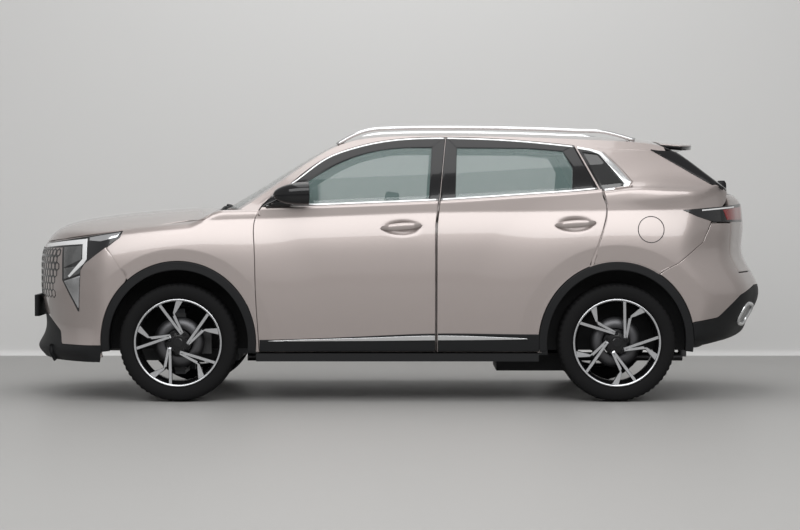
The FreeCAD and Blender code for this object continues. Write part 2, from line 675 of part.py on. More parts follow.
frame = frame_low.fuse(frame_high).common(inside_roof)
frame = frame.cut(frame_hole + arches + [quarter_hole])
side = rail.fuse([quarter, frame])
scripted("body_sides", pair(biggest(side)))

# Roof, and the glass fixed to the body
roof_range = block(along(screen_top_share), along(gate_front_share) - n.move_gap,
                   LEFT, -LEFT, 0.5 * n.roof_height, 1.1 * n.roof_height)
scripted("roof_panel", biggest(roof_layer(0, n.roof_wall).common(between_rails).common(roof_range)))
screen_range = block(along(screen_base_share), along(screen_top_share),
                     LEFT, -LEFT, 0.5 * n.roof_height, 1.1 * n.roof_height)
top_glass = roof_layer(n.glass_depth, n.glass_depth + n.glass_thick).common(between_rails)
screen = biggest(top_glass.common(screen_range))
quarter_pane = biggest(pane_layer.common(quarter_hole))
scripted("fixed_windows", Part.makeCompound([screen] + pair(quarter_pane).Solids))
door_room = door_rooms[0].fuse(door_rooms[1])

# Front end
bonnet_room = side_prism(bonnet_shares, LEFT, -LEFT)
bonnet = front_skin.common(grown(bonnet_shares, -n.move_gap, LEFT, -LEFT))
scripted("bonnet", biggest(bonnet))
headlamp_room = side_prism(headlamp_shares, LEFT, -0.2 * n.half_width)
lamp = front_skin.common(headlamp_room).cut(bonnet_room)
scripted("headlamps", pair(biggest(lamp)))
fender_side = side_prism(fender_cut_shares, LEFT, -cowl_half_share * n.half_width)
fender = front_skin.common(fender_side).cut(bonnet_room).cut(headlamp_room)
fender_limit = block(-n.half_length, along(-0.36), LEFT, 0, n.sill_height,
                     0.716 * n.roof_height)
fender = fender.common(fender_limit)
fender = fender.cut([door_room, arches[0], rail, frame, screen])
scripted("front_fenders", pair(biggest(fender)))
front_lower_room = side_prism(front_lower_shares, LEFT, -LEFT)
cowl_range = block(along(-0.487) + n.cowl_gap, along(screen_base_share) - n.move_gap / 2,
                   -cowl_half_share * n.half_width, cowl_half_share * n.half_width,
                   0.5 * n.roof_height, n.roof_height)
scripted("cowl_panel", biggest(front_skin.common(cowl_range)))
nose_range = block(-1.1 * n.half_length, along(-0.60), LEFT, -LEFT, 0, n.roof_height)
nose_piece = front_skin.common(nose_range)
nose_piece = nose_piece.cut(both(fender_side) + both(headlamp_room) + both(arches[0])
                            + [bonnet_room])
low_front_hole = block(along(-low_opening_front_share), -n.half_length * 0.5, -n.low_opening,
                       n.low_opening, 0, n.sill_height)
scripted("front_lower_trim", biggest(nose_piece.common(front_lower_room).cut(low_front_hole)))
scripted("front_bumper", biggest(nose_piece.cut(front_lower_room)))

# Rear end
tail_range = block(along(0.58), 1.1 * n.half_length, LEFT, -LEFT, 0, n.roof_height)
tail_piece = front_skin.common(tail_range).cut(both(arches[1]))
low_hole = block(n.half_length * 0.5, along(low_opening_share), -n.low_opening, n.low_opening,
                 0, n.muffler_height - n.hanger_wide * 1.6)
tip_reach = V(n.tip_rear - n.muffler_place, n.tip_side - n.tip_start_side,
              n.tip_height - n.muffler_height)
tip_rods = [Part.makeCylinder(n.tip_radius, tip_reach.Length,
                              V(n.muffler_place, n.tip_start_side, n.muffler_height), tip_reach)]
tip_rods.append(mirrored(tip_rods[0]))
tip_holes = [Part.makeCylinder(n.tip_radius + n.move_gap, tip_reach.Length * 1.5,
                               V(n.muffler_place, n.tip_start_side, n.muffler_height), tip_reach)]
tip_holes.append(mirrored(tip_holes[0]))
lower_trim = biggest(tail_piece.common(lower_room).cut([low_hole] + tip_holes))
scripted("rear_lower_trim", lower_trim)
gate_grown = grown(tailgate_lower_shares, n.move_gap,
                   -tailgate_half_share * n.half_width - n.move_gap,
                   tailgate_half_share * n.half_width + n.move_gap)
scripted("rear_bumper", biggest(tail_piece.common(bumper_room).cut(gate_grown)))
lamp = tail_piece.common(lamp_room).cut(gate_grown)
scripted("tail_lamps", pair(biggest(lamp)))
gate_top = roof_layer(0, n.upper_wall)
gate_top = gate_top.common(grown(tailgate_upper_shares, -n.move_gap, LEFT, -LEFT))
gate_top = gate_top.common(both_sides(house_rows(0)))
gate_low = side_prism(tailgate_lower_shares, -gate_half + n.move_gap, gate_half - n.move_gap)
gate_low = front_skin.common(gate_low)
back_hole = plan_prism(back_window_shares, 0.7 * n.roof_height, 1.1 * n.roof_height)
wing_line = smooth(lengths(wing_line_shares))
wing_rows = [[V(x, y, wing_line(x) - roof_crown_share * y ** 2 / n.half_width)
              for y in spread(-n.wing_half, n.wing_half, 7)]
             for x in spread(along(0.69), along(0.82), 7)]
wing = sheet_solid(wing_rows, V(0, 0, -n.wing_thick))
wing = wing.common(side_prism(wing_shares, LEFT, -LEFT))
gate = gate_top.fuse(gate_low).cut(back_hole).fuse(wing)
scripted("tailgate", biggest(gate))
back_glass = roof_layer(n.glass_depth, n.glass_depth + n.glass_thick)
scripted("rear_window", biggest(back_glass.common(back_hole)))

# Black arch trims
trims = []
for x, wall in ((n.front_axle_place, n.front_house_wall), (rear_axle_place, n.rear_house_wall)):
    outer = ellipse_prism(x, n.arch_outer_wide, n.arch_outer_high, LEFT, -wall)
    seat = arch_cut(x, wall)
    inner = ellipse_prism(x, n.arch_inner_wide, n.arch_inner_high, LEFT, -wall)
    above = block(-n.half_length, n.half_length, LEFT, 0, n.sill_height, n.roof_height)
    face = side_layer(n.trim_proud, 0).common(outer)
    rim = side_layer(0, n.trim_deep).common(seat)
    trims.append(biggest(face.fuse(rim).cut(inner).common(above)))
trims += [mirrored(trim) for trim in trims]
scripted("wheel_arch_trims", Part.makeCompound(trims))



def box(name, x, y, z, long, wide, high):
    """A box whose named lowest corner and sizes follow the sheet."""
    return place(primitive("Box", name, Length=long, Width=wide, Height=high), x, y, z)


def rod(name, radius, length, x, y, z, axis=None, angle=0):
    return place(primitive("Cylinder", name, Radius=radius, Height=length), x, y, z, axis, angle)


def fused(label, parts):
    obj = doc.addObject("Part::MultiFuse", label + "_union")
    obj.Shapes = parts
    return obj


def cut_from(label, base, tool):
    obj = doc.addObject("Part::Cut", label)
    obj.Base = base
    obj.Tool = tool
    return obj


def group(label, parts):
    obj = doc.addObject("Part::Compound", label)
    obj.Links = parts
    return keep(obj, label)


X_AXIS = V(1, 0, 0)
Y_AXIS = V(0, 1, 0)
Z_AXIS = V(0, 0, 1)
SIDES = (("left", -1), ("right", 1))
m.rear_axle_place = m.front_axle_place + m.wheelbase
n.rear_axle_place = rear_axle_place


def turned(label, corners):
    """A body revolved about its Y axis from (offset, radius) corners, all measures."""
    body = doc.addObject("PartDesign::Body", label)
    sketch = body.newObject("Sketcher::SketchObject", label + "_profile")
    plane = [f for f in body.Origin.OriginFeatures if f.Role == "YZ_Plane"][0]
    sketch.AttachmentSupport = [(plane, "")]
    sketch.MapMode = "FlatFace"
    count = len(corners)
    points = [V(a.value, r.value, 0) for a, r in corners]
    for i in range(count):
        sketch.addGeometry(Part.LineSegment(points[i], points[(i + 1) % count]), False)
    for i in range(count):
        sketch.addConstraint(Sketcher.Constraint("Coincident", i, 2, (i + 1) % count, 1))
    for i, (offset, radius) in enumerate(corners):
        if offset.value < 0:
            c = sketch.addConstraint(Sketcher.Constraint("DistanceX", i, 1, -1, 1, -offset.value))
            sketch.setExpression("Constraints[%d]" % c, (-offset).text)
        else:
            c = sketch.addConstraint(Sketcher.Constraint("DistanceX", -1, 1, i, 1, offset.value))
            sketch.setExpression("Constraints[%d]" % c, offset.text)
        c = sketch.addConstraint(Sketcher.Constraint("DistanceY", -1, 1, i, 1, radius.value))
        sketch.setExpression("Constraints[%d]" % c, radius.text)
    turn = body.newObject("PartDesign::Revolution", label + "_turn")
    turn.Profile = sketch
    turn.ReferenceAxis = (sketch, ["H_Axis"])
    turn.Angle = 360
    return body


# Wheels: tyre, rim with its spokes, brake disc
tyre_half = m.tyre_width / 2
bead_half = tyre_half - m.bead_inset
tyre_corners = [(bead_half, m.tyre_rim_seat + m.part_gap),
                (bead_half, m.rim_radius + m.part_gap * 2),
                (tyre_half, m.rim_radius + m.sidewall_bulge),
                (tyre_half - m.tread_crown, m.tyre_radius - m.tyre_shoulder),
                (tyre_half - m.tyre_shoulder, m.tyre_radius - m.tread_crown),
                (tyre_half / 2, m.tyre_radius)]
inner_corners = [(tyre_half / 2, m.tyre_radius - m.tyre_wall),
                 (tyre_half - m.tyre_wall - m.tread_crown, m.tyre_radius - m.tyre_shoulder * 1.4),
                 (tyre_half - m.tyre_wall, m.rim_radius + m.sidewall_bulge),
                 (bead_half - m.tyre_wall, m.tyre_rim_seat + m.part_gap)]
tyre_profile = tyre_corners + [(-a, r) for a, r in reversed(tyre_corners)]
tyre_profile += [(-a, r) for a, r in reversed(inner_corners)]
tyre_profile += inner_corners

rim_half = m.rim_width / 2
rim_profile = [(-rim_half, m.rim_radius), (-rim_half, m.rim_radius - m.rim_wall * 2),
               (-bead_half + m.rim_wall, m.rim_well),
               (bead_half - m.rim_face_depth, m.rim_well),
               (rim_half - m.rim_wall, m.rim_radius - m.rim_wall * 3),
               (rim_half, m.rim_radius - m.rim_wall),
               (rim_half, m.rim_radius), (bead_half + m.part_gap, m.rim_radius),
               (bead_half + m.part_gap, m.tyre_rim_seat),
               (-bead_half - m.part_gap, m.tyre_rim_seat),
               (-bead_half - m.part_gap, m.rim_radius)]


def spoke_arm(name, places, outward):
    """One flat arm of a spoke through (x, z) places given as shares of the rim's radius."""
    wire = Part.makePolygon([V(x * n.rim_radius, 0, z * n.rim_radius) for x, z in places]
                            + [V(places[0][0] * n.rim_radius, 0, places[0][1] * n.rim_radius)])
    face = Part.Face(wire)
    low = n.rim_width / 2 - n.rim_face_depth
    arm = face.extrude(V(0, outward * n.rim_face_depth * 0.7, 0))
    arm.translate(V(0, outward * low, 0))
    return arm


straight_arm_shares = [(-0.205, 0.10), (-0.205, 0.925), (-0.135, 0.925), (-0.135, 0.10)]
bent_arm_shares = [(-0.225, 0.05), (-0.345, 0.53), (-0.642, 0.695), (-0.557, 0.765),
                   (-0.235, 0.61), (-0.12, 0.12)]
for end, place_x in (("front", m.front_axle_place), ("rear", m.rear_axle_place)):
    for side, sign in SIDES:
        tail = "_%s_%s" % (end, side)
        tyre = keep(turned("tyre" + tail, tyre_profile), "tyre" + tail)
        place(tyre, place_x, m.track * (sign / 2), m.tyre_radius)
        profile = rim_profile if sign > 0 else [(-a, r) for a, r in rim_profile]
        barrel = turned("barrel" + tail, profile)
        arms = []
        for k in range(5):
            for shares in (straight_arm_shares, bent_arm_shares):
                flip = [(x * -sign, -z) for x, z in shares]
                arm = spoke_arm("arm", flip, sign)
                phase = 0 if end == "front" else 180
                arm.rotate(V(0, 0, 0), Y_AXIS, 72 * k + phase)
                arms.append(arm)
        spokes = doc.addObject("Part::Feature", "spokes" + tail)
        hub = Part.makeCylinder(n.hub_radius, n.hub_thick,
                                V(0, sign * (n.rim_width / 2 - n.rim_face_depth), 0),
                                V(0, sign, 0))
        web = Part.makeCylinder(n.hub_radius, n.rim_width / 2 - n.rim_face_depth + n.disc_place,
                                V(0, -sign * n.disc_place, 0), V(0, sign, 0))
        disc = Part.makeCylinder(n.disc_radius, n.disc_thick, V(0, -sign * n.disc_place, 0),
                                 V(0, sign, 0))
        bore = Part.makeCylinder(n.bore_radius, n.rim_width, V(0, -sign * n.rim_width, 0),
                                 V(0, sign, 0))
        spokes.Shape = hub.fuse(arms + [web, disc]).cut(bore)
        rim = fused("rim" + tail, [barrel, spokes])
        keep(rim, "rim" + tail)
        place(rim, place_x, m.track * (sign / 2), m.tyre_radius)

# Front suspension: subframe with two arms a side; the knuckles turn between their ends
arms = [box("subframe", m.floor_front - m.subframe_long - m.seat_gap, -m.arm_root, m.subframe_base,
            m.subframe_long, m.arm_root * 2, m.subframe_high)]
for side, sign in SIDES:
    for level, height in (("low", m.ball_height_low), ("high", m.ball_height_high)):
        long = m.steer_axis_place - m.arm_root + m.arm_wide / 2 + m.upright_out
        start = m.arm_root - m.arm_wide / 2 if sign > 0 else -m.steer_axis_place - m.upright_out
        arms.append(box("arm_%s_%s" % (level, side), m.front_axle_place - m.arm_wide / 2, start,
                        height, m.arm_wide, long, m.arm_thick))
    arms.append(box("tower_" + side, m.front_axle_place - m.arm_wide,
                    m.arm_root * sign - m.arm_wide / 2, m.ball_height_low,
                    m.arm_wide * 2, m.arm_wide, m.tower_high))
    start = m.steer_axis_place + m.upright_out
    start = start - m.upright_deep if sign > 0 else -start
    upright = box("upright_" + side, m.front_axle_place - m.upright_wide / 2, start,
                  m.ball_height_low + m.arm_thick + m.seat_gap, m.upright_wide, m.upright_deep,
                  m.ball_height_high - m.ball_height_low - m.arm_thick - m.seat_gap * 2)
    stub = rod("stub_" + side, m.stub_radius, m.stub_long, m.front_axle_place,
               m.steer_axis_place * sign, m.tyre_radius, X_AXIS, -90 * sign)
    start = m.track / 2 - m.disc_place - m.move_gap
    start = start - m.caliper_thick if sign > 0 else -start
    caliper = box("caliper_" + side, m.front_axle_place + m.disc_radius - m.caliper_deep, start,
                  m.tyre_radius - m.caliper_long / 2, m.caliper_deep * 1.4, m.caliper_thick,
                  m.caliper_long)
    bridge = box("bridge_" + side, m.front_axle_place,
                 m.steer_axis_place * sign - m.arm_thick / 2 - m.arm_thick * (0.4 * sign),
                 m.tyre_radius - m.arm_wide / 2, m.disc_radius - m.caliper_deep / 2, m.arm_thick,
                 m.arm_wide)
    keep(fused("knuckle_" + side, [upright, stub, caliper, bridge]), "knuckle_" + side)
keep(fused("front_subframe", arms), "front_subframe")

# Rear axle beam with trailing arms and stubs
beam = [rod("beam", m.beam_radius, m.beam_half * 2, m.rear_axle_place, -m.beam_half,
            m.beam_height, X_AXIS, -90)]
for side, sign in SIDES:
    start = m.beam_half - m.arm_wide if sign > 0 else -m.beam_half
    beam.append(box("trail_" + side, m.rear_axle_place - m.trail_long, start, m.beam_height
                    - m.arm_thick, m.trail_long, m.arm_wide, m.arm_thick * 2))
    beam.append(rod("rear_stub_" + side, m.stub_radius, m.track / 2 - m.disc_place - m.beam_half
                    + m.stub_long / 2, m.rear_axle_place, m.beam_half * sign,
                    m.tyre_radius, X_AXIS, -90 * sign))
keep(fused("rear_axle", beam), "rear_axle")

# Floor with tunnel and firewall, sill trims
floor = [box("floor", m.floor_front, -m.floor_half, m.floor_height,
             m.floor_step - m.floor_front, m.floor_half * 2, m.floor_thick),
         box("firewall", m.floor_front, -m.floor_half, m.floor_height, m.firewall_thick,
             m.floor_half * 2, m.firewall_top - m.floor_height),
         box("tunnel", m.floor_front, -m.tunnel_half, m.floor_height,
             m.tunnel_end - m.floor_front, m.tunnel_half * 2, m.tunnel_height),
         box("floor_riser", m.floor_step, -m.floor_half, m.floor_height, m.firewall_thick,
             m.floor_half * 2, m.boot_height + m.floor_thick - m.floor_height),
         box("boot_floor", m.floor_step, -m.floor_half, m.boot_height,
             m.floor_rear - m.floor_step, m.floor_half * 2, m.floor_thick)]
floor_union = fused("floor_pan", floor)
rooms = doc.addObject("Part::Feature", "wheel_rooms")
rooms.Shape = Part.makeCompound([arch_cut(x, wall, n.move_gap + n.liner_thick) for x, wall in
                                 ((n.front_axle_place, n.front_house_wall - n.liner_thick),
                                  (rear_axle_place, n.rear_house_wall - n.liner_thick))]
                                + [mirrored(arch_cut(x, wall, n.move_gap + n.liner_thick))
                                   for x, wall in
                                   ((n.front_axle_place, n.front_house_wall - n.liner_thick),
                                    (rear_axle_place, n.rear_house_wall - n.liner_thick))])
keep(cut_from("floor_pan", floor_union, rooms), "floor_pan")
trims = []
for side, sign in SIDES:
    start = m.sill_trim_half - m.sill_trim_deep if sign > 0 else -m.sill_trim_half
    trims.append(box("sill_trim_" + side, m.front_axle_place + m.arch_outer_wide, start,
                     m.sill_height - m.sill_trim_height - m.move_gap,
                     m.wheelbase - m.arch_outer_wide * 2, m.sill_trim_deep, m.sill_trim_height))
group("sill_trims", trims)

# Wheelhouse liners
liners = []
for x, wall in ((n.front_axle_place, n.front_house_wall), (rear_axle_place, n.rear_house_wall)):
    wide = n.arch_inner_wide + n.arch_seat
    high = n.arch_inner_high + n.arch_seat
    outer = ellipse_prism(x, wide, high, -n.liner_outer, -wall + n.liner_thick)
    inner = ellipse_prism(x, wide - n.liner_thick, high - n.liner_thick, -n.liner_outer, -wall)
    above = block(-n.half_length, n.half_length, LEFT, 0, n.sill_height, n.roof_height)
    notch_low = n.sill_height if x > 0 else n.ball_height_high - n.move_gap * 3
    notch_high = (n.tyre_radius + n.liner_notch if x > 0
                  else n.ball_height_high + n.arm_thick + n.move_gap * 3)
    notch = block(x - n.liner_notch, x + n.liner_notch, -wall - n.move_gap, 0, notch_low,
                  notch_high)
    near_skin = side_layer(0, n.trim_deep + n.seat_gap)
    liners.append(biggest(outer.cut([inner, notch, near_skin]).common(above)))
scripted("wheel_arch_liners", Part.makeCompound(liners + [mirrored(liner) for liner in liners]))

# Engine, tank and exhaust
keep(box("engine_block", m.engine_place, -m.engine_wide / 2,
         m.subframe_base + m.subframe_high + m.engine_gap, m.engine_long, m.engine_wide,
         m.engine_high), "engine_block")
keep(box("fuel_tank", m.tank_place, m.tank_side, m.floor_height - m.tank_high
         - m.seat_gap, m.tank_long, m.tank_wide, m.tank_high), "fuel_tank")
pipe = rod("pipe", m.pipe_radius, m.muffler_place - m.pipe_front, m.pipe_front, m.pipe_side,
           m.pipe_height, Y_AXIS, 90)
riser = rod("riser", m.pipe_radius, m.muffler_height - m.pipe_height, m.muffler_place,
            m.pipe_side, m.pipe_height)
muffler = rod("muffler", m.muffler_radius, m.muffler_long, m.muffler_place,
              -m.muffler_long / 2, m.muffler_height, X_AXIS, -90)
hangers = [box("hanger", 0, m.pipe_side - m.hanger_wide / 2, m.pipe_height, m.hanger_wide * 2,
               m.hanger_wide, m.floor_height - m.pipe_height - m.seat_gap),
           box("muffler_hanger", m.muffler_place - m.hanger_wide, -m.hanger_wide / 2,
               m.muffler_height, m.hanger_wide, m.hanger_wide,
               m.boot_height - m.muffler_height - m.seat_gap)]
tips = doc.addObject("Part::Feature", "tips")
tips.Shape = Part.makeCompound(tip_rods)
keep(fused("exhaust", [pipe, riser, muffler, tips] + hangers), "exhaust")

# Seats, dashboard and steering wheel
seats = []
for side, sign in SIDES:
    base_y = m.seat_side * sign - m.seat_wide / 2
    parts = [box("cushion_" + side, m.front_seat_place - m.seat_long, base_y,
                 m.floor_height + m.floor_thick + m.seat_gap, m.seat_long, m.seat_wide,
                 m.seat_height - m.floor_height - m.floor_thick),
             box("back_" + side, m.front_seat_place - m.back_thick / 2, base_y,
                 m.seat_height - m.cushion_thick, m.back_thick, m.seat_wide,
                 m.back_high + m.cushion_thick),
             box("head_" + side, m.front_seat_place - m.back_thick / 4,
                 m.seat_side * sign - m.head_wide / 2, m.seat_height + m.back_high * 0.9,
                 m.back_thick / 2, m.head_wide, m.head_high)]
    seats.append(fused("front_seat_" + side, parts))
parts = [box("bench_cushion", m.rear_seat_place - m.seat_long, -m.bench_wide / 2,
             m.floor_height + m.floor_thick + m.seat_gap, m.seat_long, m.bench_wide,
             m.seat_height - m.floor_height - m.floor_thick),
         box("bench_back", m.rear_seat_place - m.back_thick / 2, -m.bench_wide / 2,
             m.seat_height - m.cushion_thick, m.back_thick, m.bench_wide,
             m.back_high + m.cushion_thick)]
seats.append(fused("rear_bench", parts))
group("seats", seats)
dash = box("dash_form", m.dash_rear - m.dash_long, -m.dash_half, m.dash_base, m.dash_long,
           m.dash_half * 2, m.dash_high)
socket = rod("column_room", m.column_radius + m.column_gap, m.column_long * 1.5, 0, 0, 0)
turn = FreeCAD.Rotation(Y_AXIS, n.ring_tilt)
foot = turn.multVec(V(0, 0, -n.column_long * 1.55))
socket.Placement = FreeCAD.Placement(V(n.ring_place, -n.ring_side, n.ring_height) + foot, turn)
keep(cut_from("dashboard", dash, socket), "dashboard")
ring = primitive("Torus", "ring", Radius1=m.wheel_ring_radius, Radius2=m.ring_radius)
spoke = box("ring_spoke", -m.wheel_ring_radius, -m.ring_radius, -m.ring_radius / 2,
            m.wheel_ring_radius * 2, m.ring_radius * 2, m.ring_radius)
column = rod("column", m.column_radius, m.column_long, 0, 0, -m.column_long)
steering = fused("steering_wheel", [ring, spoke, column])
keep(steering, "steering_wheel")
place(steering, m.ring_place, -m.ring_side, m.ring_height, Y_AXIS, n.ring_tilt)

# Roof rails, plate holder, mirrors
rail_path = [(x, roof_line(x)) for x in spread(n.rail_front, n.rail_rear, 7)]
rails = []
for sign in (-1, 1):
    points = []
    for i, (x, z) in enumerate(rail_path):
        lift = n.rail_lift if 0 < i < len(rail_path) - 1 else 0
        y = sign * n.rail_side
        points.append(V(x, y, house_top(x, y) + lift - n.rail_radius / 2))
    curve = Part.BSplineCurve()
    curve.interpolate(points)
    ring = Part.Wire(Part.makeCircle(n.rail_radius, points[0], curve.tangent(0)[0]))
    rod_shape = Part.Wire(curve.toShape()).makePipeShell([ring], True, False)
    rails.append(biggest(rod_shape.cut(under_roof)))
scripted("roof_rails", Part.makeCompound(rails))
holder = box("holder", m.plate_front, -m.plate_wide / 2, m.plate_base, m.plate_thick,
             m.plate_wide, m.plate_high)
bolts = [rod("plate_hole_" + side, m.plate_bolt_radius, m.plate_thick + m.overrun * 2,
             m.plate_front - m.overrun, m.plate_bolt_side * sign, m.plate_base
             + m.plate_high / 2, Y_AXIS, 90) for side, sign in SIDES]
keep(cut_from("plate_holder", holder, fused("plate_holes", bolts)), "plate_holder")
mirror = side_prism(mirror_shares, -n.mirror_inner - n.mirror_wide, -n.mirror_inner)
mirror = mirror.makeFillet(n.mirror_round, mirror.Edges)
foot = block(along(-0.30), along(-0.27), -n.mirror_inner - n.mirror_lap,
             -n.mirror_inner + n.mirror_foot, 0.70 * n.roof_height, 0.74 * n.roof_height)
foot = foot.cut(under_belt(n.belt_rise))
mirror = mirror.fuse(foot)
for side, shape in zip(("left", "right"), both(mirror)):
    scripted("mirror_" + side, shape)

doc.recompute()
bad = [obj.Name for obj in doc.Objects if "Invalid" in obj.State or "Error" in obj.State]
for obj in nodes:
    if obj.Shape.isNull() or not obj.Shape.isValid():
        bad.append(obj.Label)
if bad:
    print("not built:", bad)
    sys.exit(1)
os.makedirs("parts", exist_ok=True)
for obj in nodes:
    obj.Shape.exportStep("parts/%s.step" % obj.Label)
    print(obj.Label, len(obj.Shape.Solids), round(obj.Shape.Volume / 1e6, 3))
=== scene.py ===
"""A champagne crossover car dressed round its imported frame.

Every new piece is a surface on a grid: a few lines of the car's side, plan and section give
the body's form, and each panel is a patch of that form between four border lines.
"""
import bpy
import json
import math
import numpy as np
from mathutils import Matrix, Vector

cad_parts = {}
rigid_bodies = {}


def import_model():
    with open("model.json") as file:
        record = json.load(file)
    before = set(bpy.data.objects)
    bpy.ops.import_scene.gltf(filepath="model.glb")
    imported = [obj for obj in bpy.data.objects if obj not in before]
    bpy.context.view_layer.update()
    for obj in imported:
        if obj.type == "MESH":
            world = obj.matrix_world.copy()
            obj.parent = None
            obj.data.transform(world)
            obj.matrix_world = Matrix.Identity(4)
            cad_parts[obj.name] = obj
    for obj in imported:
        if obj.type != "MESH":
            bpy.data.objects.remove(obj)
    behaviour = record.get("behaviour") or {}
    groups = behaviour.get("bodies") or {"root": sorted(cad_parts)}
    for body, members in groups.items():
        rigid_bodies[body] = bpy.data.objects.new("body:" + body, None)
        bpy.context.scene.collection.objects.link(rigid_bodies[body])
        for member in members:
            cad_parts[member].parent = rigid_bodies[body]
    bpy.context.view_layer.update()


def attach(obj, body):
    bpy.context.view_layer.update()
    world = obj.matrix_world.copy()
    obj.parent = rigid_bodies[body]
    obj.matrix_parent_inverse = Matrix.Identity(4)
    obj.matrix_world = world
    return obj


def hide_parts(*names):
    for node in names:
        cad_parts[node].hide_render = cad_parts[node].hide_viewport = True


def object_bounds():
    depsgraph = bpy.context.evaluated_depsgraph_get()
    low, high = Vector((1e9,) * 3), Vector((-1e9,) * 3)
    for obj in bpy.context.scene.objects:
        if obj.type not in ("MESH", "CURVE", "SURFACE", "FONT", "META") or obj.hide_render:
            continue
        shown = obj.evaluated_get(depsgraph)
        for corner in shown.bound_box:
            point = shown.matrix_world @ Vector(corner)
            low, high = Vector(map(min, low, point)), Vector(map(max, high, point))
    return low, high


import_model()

# Half length, half width, height and place of the middle: the shares below refer to them
HALF, WIDE, TALL, SHIFT = 2.299, 0.927, 1.655, 0.008
FRONT_AXLE, REAR_AXLE, AXLE_HIGH = -1.335, 1.335, 0.360
SIDES = (("left", 1), ("right", -1))
ACROSS = (("", 1),)
ROUND = 2 * math.pi


def along(share):
    """A place along the car in metres from its share of the half length."""
    return share * HALF + SHIFT


def at(points):
    """Side-view places in metres from (length share, height share) pairs."""
    points = np.array(points, float)
    return np.stack([along(points[:, 0]), points[:, 1] * TALL], 1)


def curve(points):
    """Natural cubic spline through (position, value) pairs, straight beyond its ends."""
    xs, ys = np.array(points, float).T
    gap = np.diff(xs)
    count = len(xs)
    system = np.eye(count)
    right = np.zeros(count)
    for i in range(1, count - 1):
        system[i, i - 1:i + 2] = gap[i - 1], 2 * (gap[i - 1] + gap[i]), gap[i]
        right[i] = 6 * ((ys[i + 1] - ys[i]) / gap[i] - (ys[i] - ys[i - 1]) / gap[i - 1])
    bend = np.linalg.solve(system, right)
    low_slope = (ys[1] - ys[0]) / gap[0] - gap[0] * bend[1] / 6
    high_slope = (ys[-1] - ys[-2]) / gap[-1] + gap[-1] * bend[-2] / 6

    def value(x):
        x = np.asarray(x, float)
        i = np.clip(np.searchsorted(xs, x) - 1, 0, count - 2)
        a = (xs[i + 1] - x) / gap[i]
        b = 1 - a
        bow = ((a ** 3 - a) * bend[i] + (b ** 3 - b) * bend[i + 1]) * gap[i] ** 2 / 6
        inside = a * ys[i] + b * ys[i + 1] + bow
        inside = np.where(x < xs[0], ys[0] + low_slope * (x - xs[0]), inside)
        return np.where(x > xs[-1], ys[-1] + high_slope * (x - xs[-1]), inside)

    return value


def ease(low, high, x):
    """Smooth step from 0 to 1 between two places: the cubic with level ends."""
    t = np.clip((x - low) / (high - low), 0, 1)
    return t * t * (3 - 2 * t)


def soft(value, power):
    """A wave made squarer: its size raised to a power below one, with its own sign."""
    return np.sign(value) * np.abs(value) ** power


# Lines of the form, shared with the solids
roof_line = curve(at([(-0.600, 0.580), (-0.471, 0.716), (-0.348, 0.822), (-0.243, 0.911),
                      (-0.174, 0.959), (-0.120, 0.982), (-0.050, 0.995), (0.065, 1.0),
                      (0.217, 0.9995), (0.391, 0.994), (0.565, 0.984), (0.652, 0.976),
                      (0.696, 0.966), (0.735, 0.944), (0.826, 0.855), (0.902, 0.781)]))
bonnet_line = curve(at([(-1.0, 0.553), (-0.972, 0.599), (-0.949, 0.627), (-0.907, 0.654),
                        (-0.837, 0.674), (-0.697, 0.697), (-0.537, 0.713), (-0.471, 0.718)]))
belt_line = curve(at([(-0.5, 0.706), (-0.235, 0.713), (-0.066, 0.722), (0.106, 0.732),
                      (0.351, 0.754), (0.530, 0.774), (0.609, 0.788)]))
tail_top = curve(at([(0.609, 0.788), (0.783, 0.787), (0.870, 0.783), (0.909, 0.776),
                     (0.935, 0.752), (0.951, 0.731), (0.974, 0.695)]))
crease_line = curve(at([(-0.85, 0.612), (-0.731, 0.630), (-0.478, 0.668), (-0.370, 0.673),
                        (0.089, 0.696), (0.549, 0.702), (0.750, 0.708), (0.95, 0.712)]))
nose_line = curve([(z * TALL, along(x)) for z, x in
                   ((0.13, -0.975), (0.148, -0.985), (0.183, -1.003), (0.208, -0.996),
                    (0.24, -0.985), (0.30, -0.983), (0.34, -0.988), (0.39, -0.994),
                    (0.46, -0.995), (0.53, -0.993), (0.562, -0.987), (0.600, -0.974),
                    (0.665, -0.957))])
tail_line = curve([(z * TALL, along(x)) for z, x in
                   ((0.13, 0.82), (0.19, 0.86), (0.215, 0.92), (0.27, 0.965), (0.363, 0.998),
                    (0.41, 0.9995), (0.46, 0.984), (0.53, 0.957), (0.62, 0.957),
                    (0.69, 0.955), (0.76, 0.948))])
plan_line = curve([(along(x), w * WIDE) for x, w in
                   ((-1.0, 0.90), (-0.85, 0.945), (-0.75, 0.972), (-0.584, 0.997),
                    (-0.40, 0.995), (0.0, 0.992), (0.40, 0.999), (0.577, 1.0), (0.70, 0.985),
                    (0.85, 0.938), (1.0, 0.87))])
section_line = curve([(u, w * WIDE) for u, w in
                      ((-0.12, 0.085), (0.0, 0.060), (0.12, 0.040), (0.30, 0.014), (0.50, 0.001),
                       (0.66, 0.002), (0.82, 0.012), (1.0, 0.040))])
house_plan = curve([(along(x), w * WIDE) for x, w in
                    ((-0.6, 0.80), (-0.45, 0.855), (-0.30, 0.905), (-0.1, 0.932), (0.2, 0.940),
                     (0.45, 0.930), (0.65, 0.885), (0.8, 0.825), (0.95, 0.755))])
SILL = 0.300

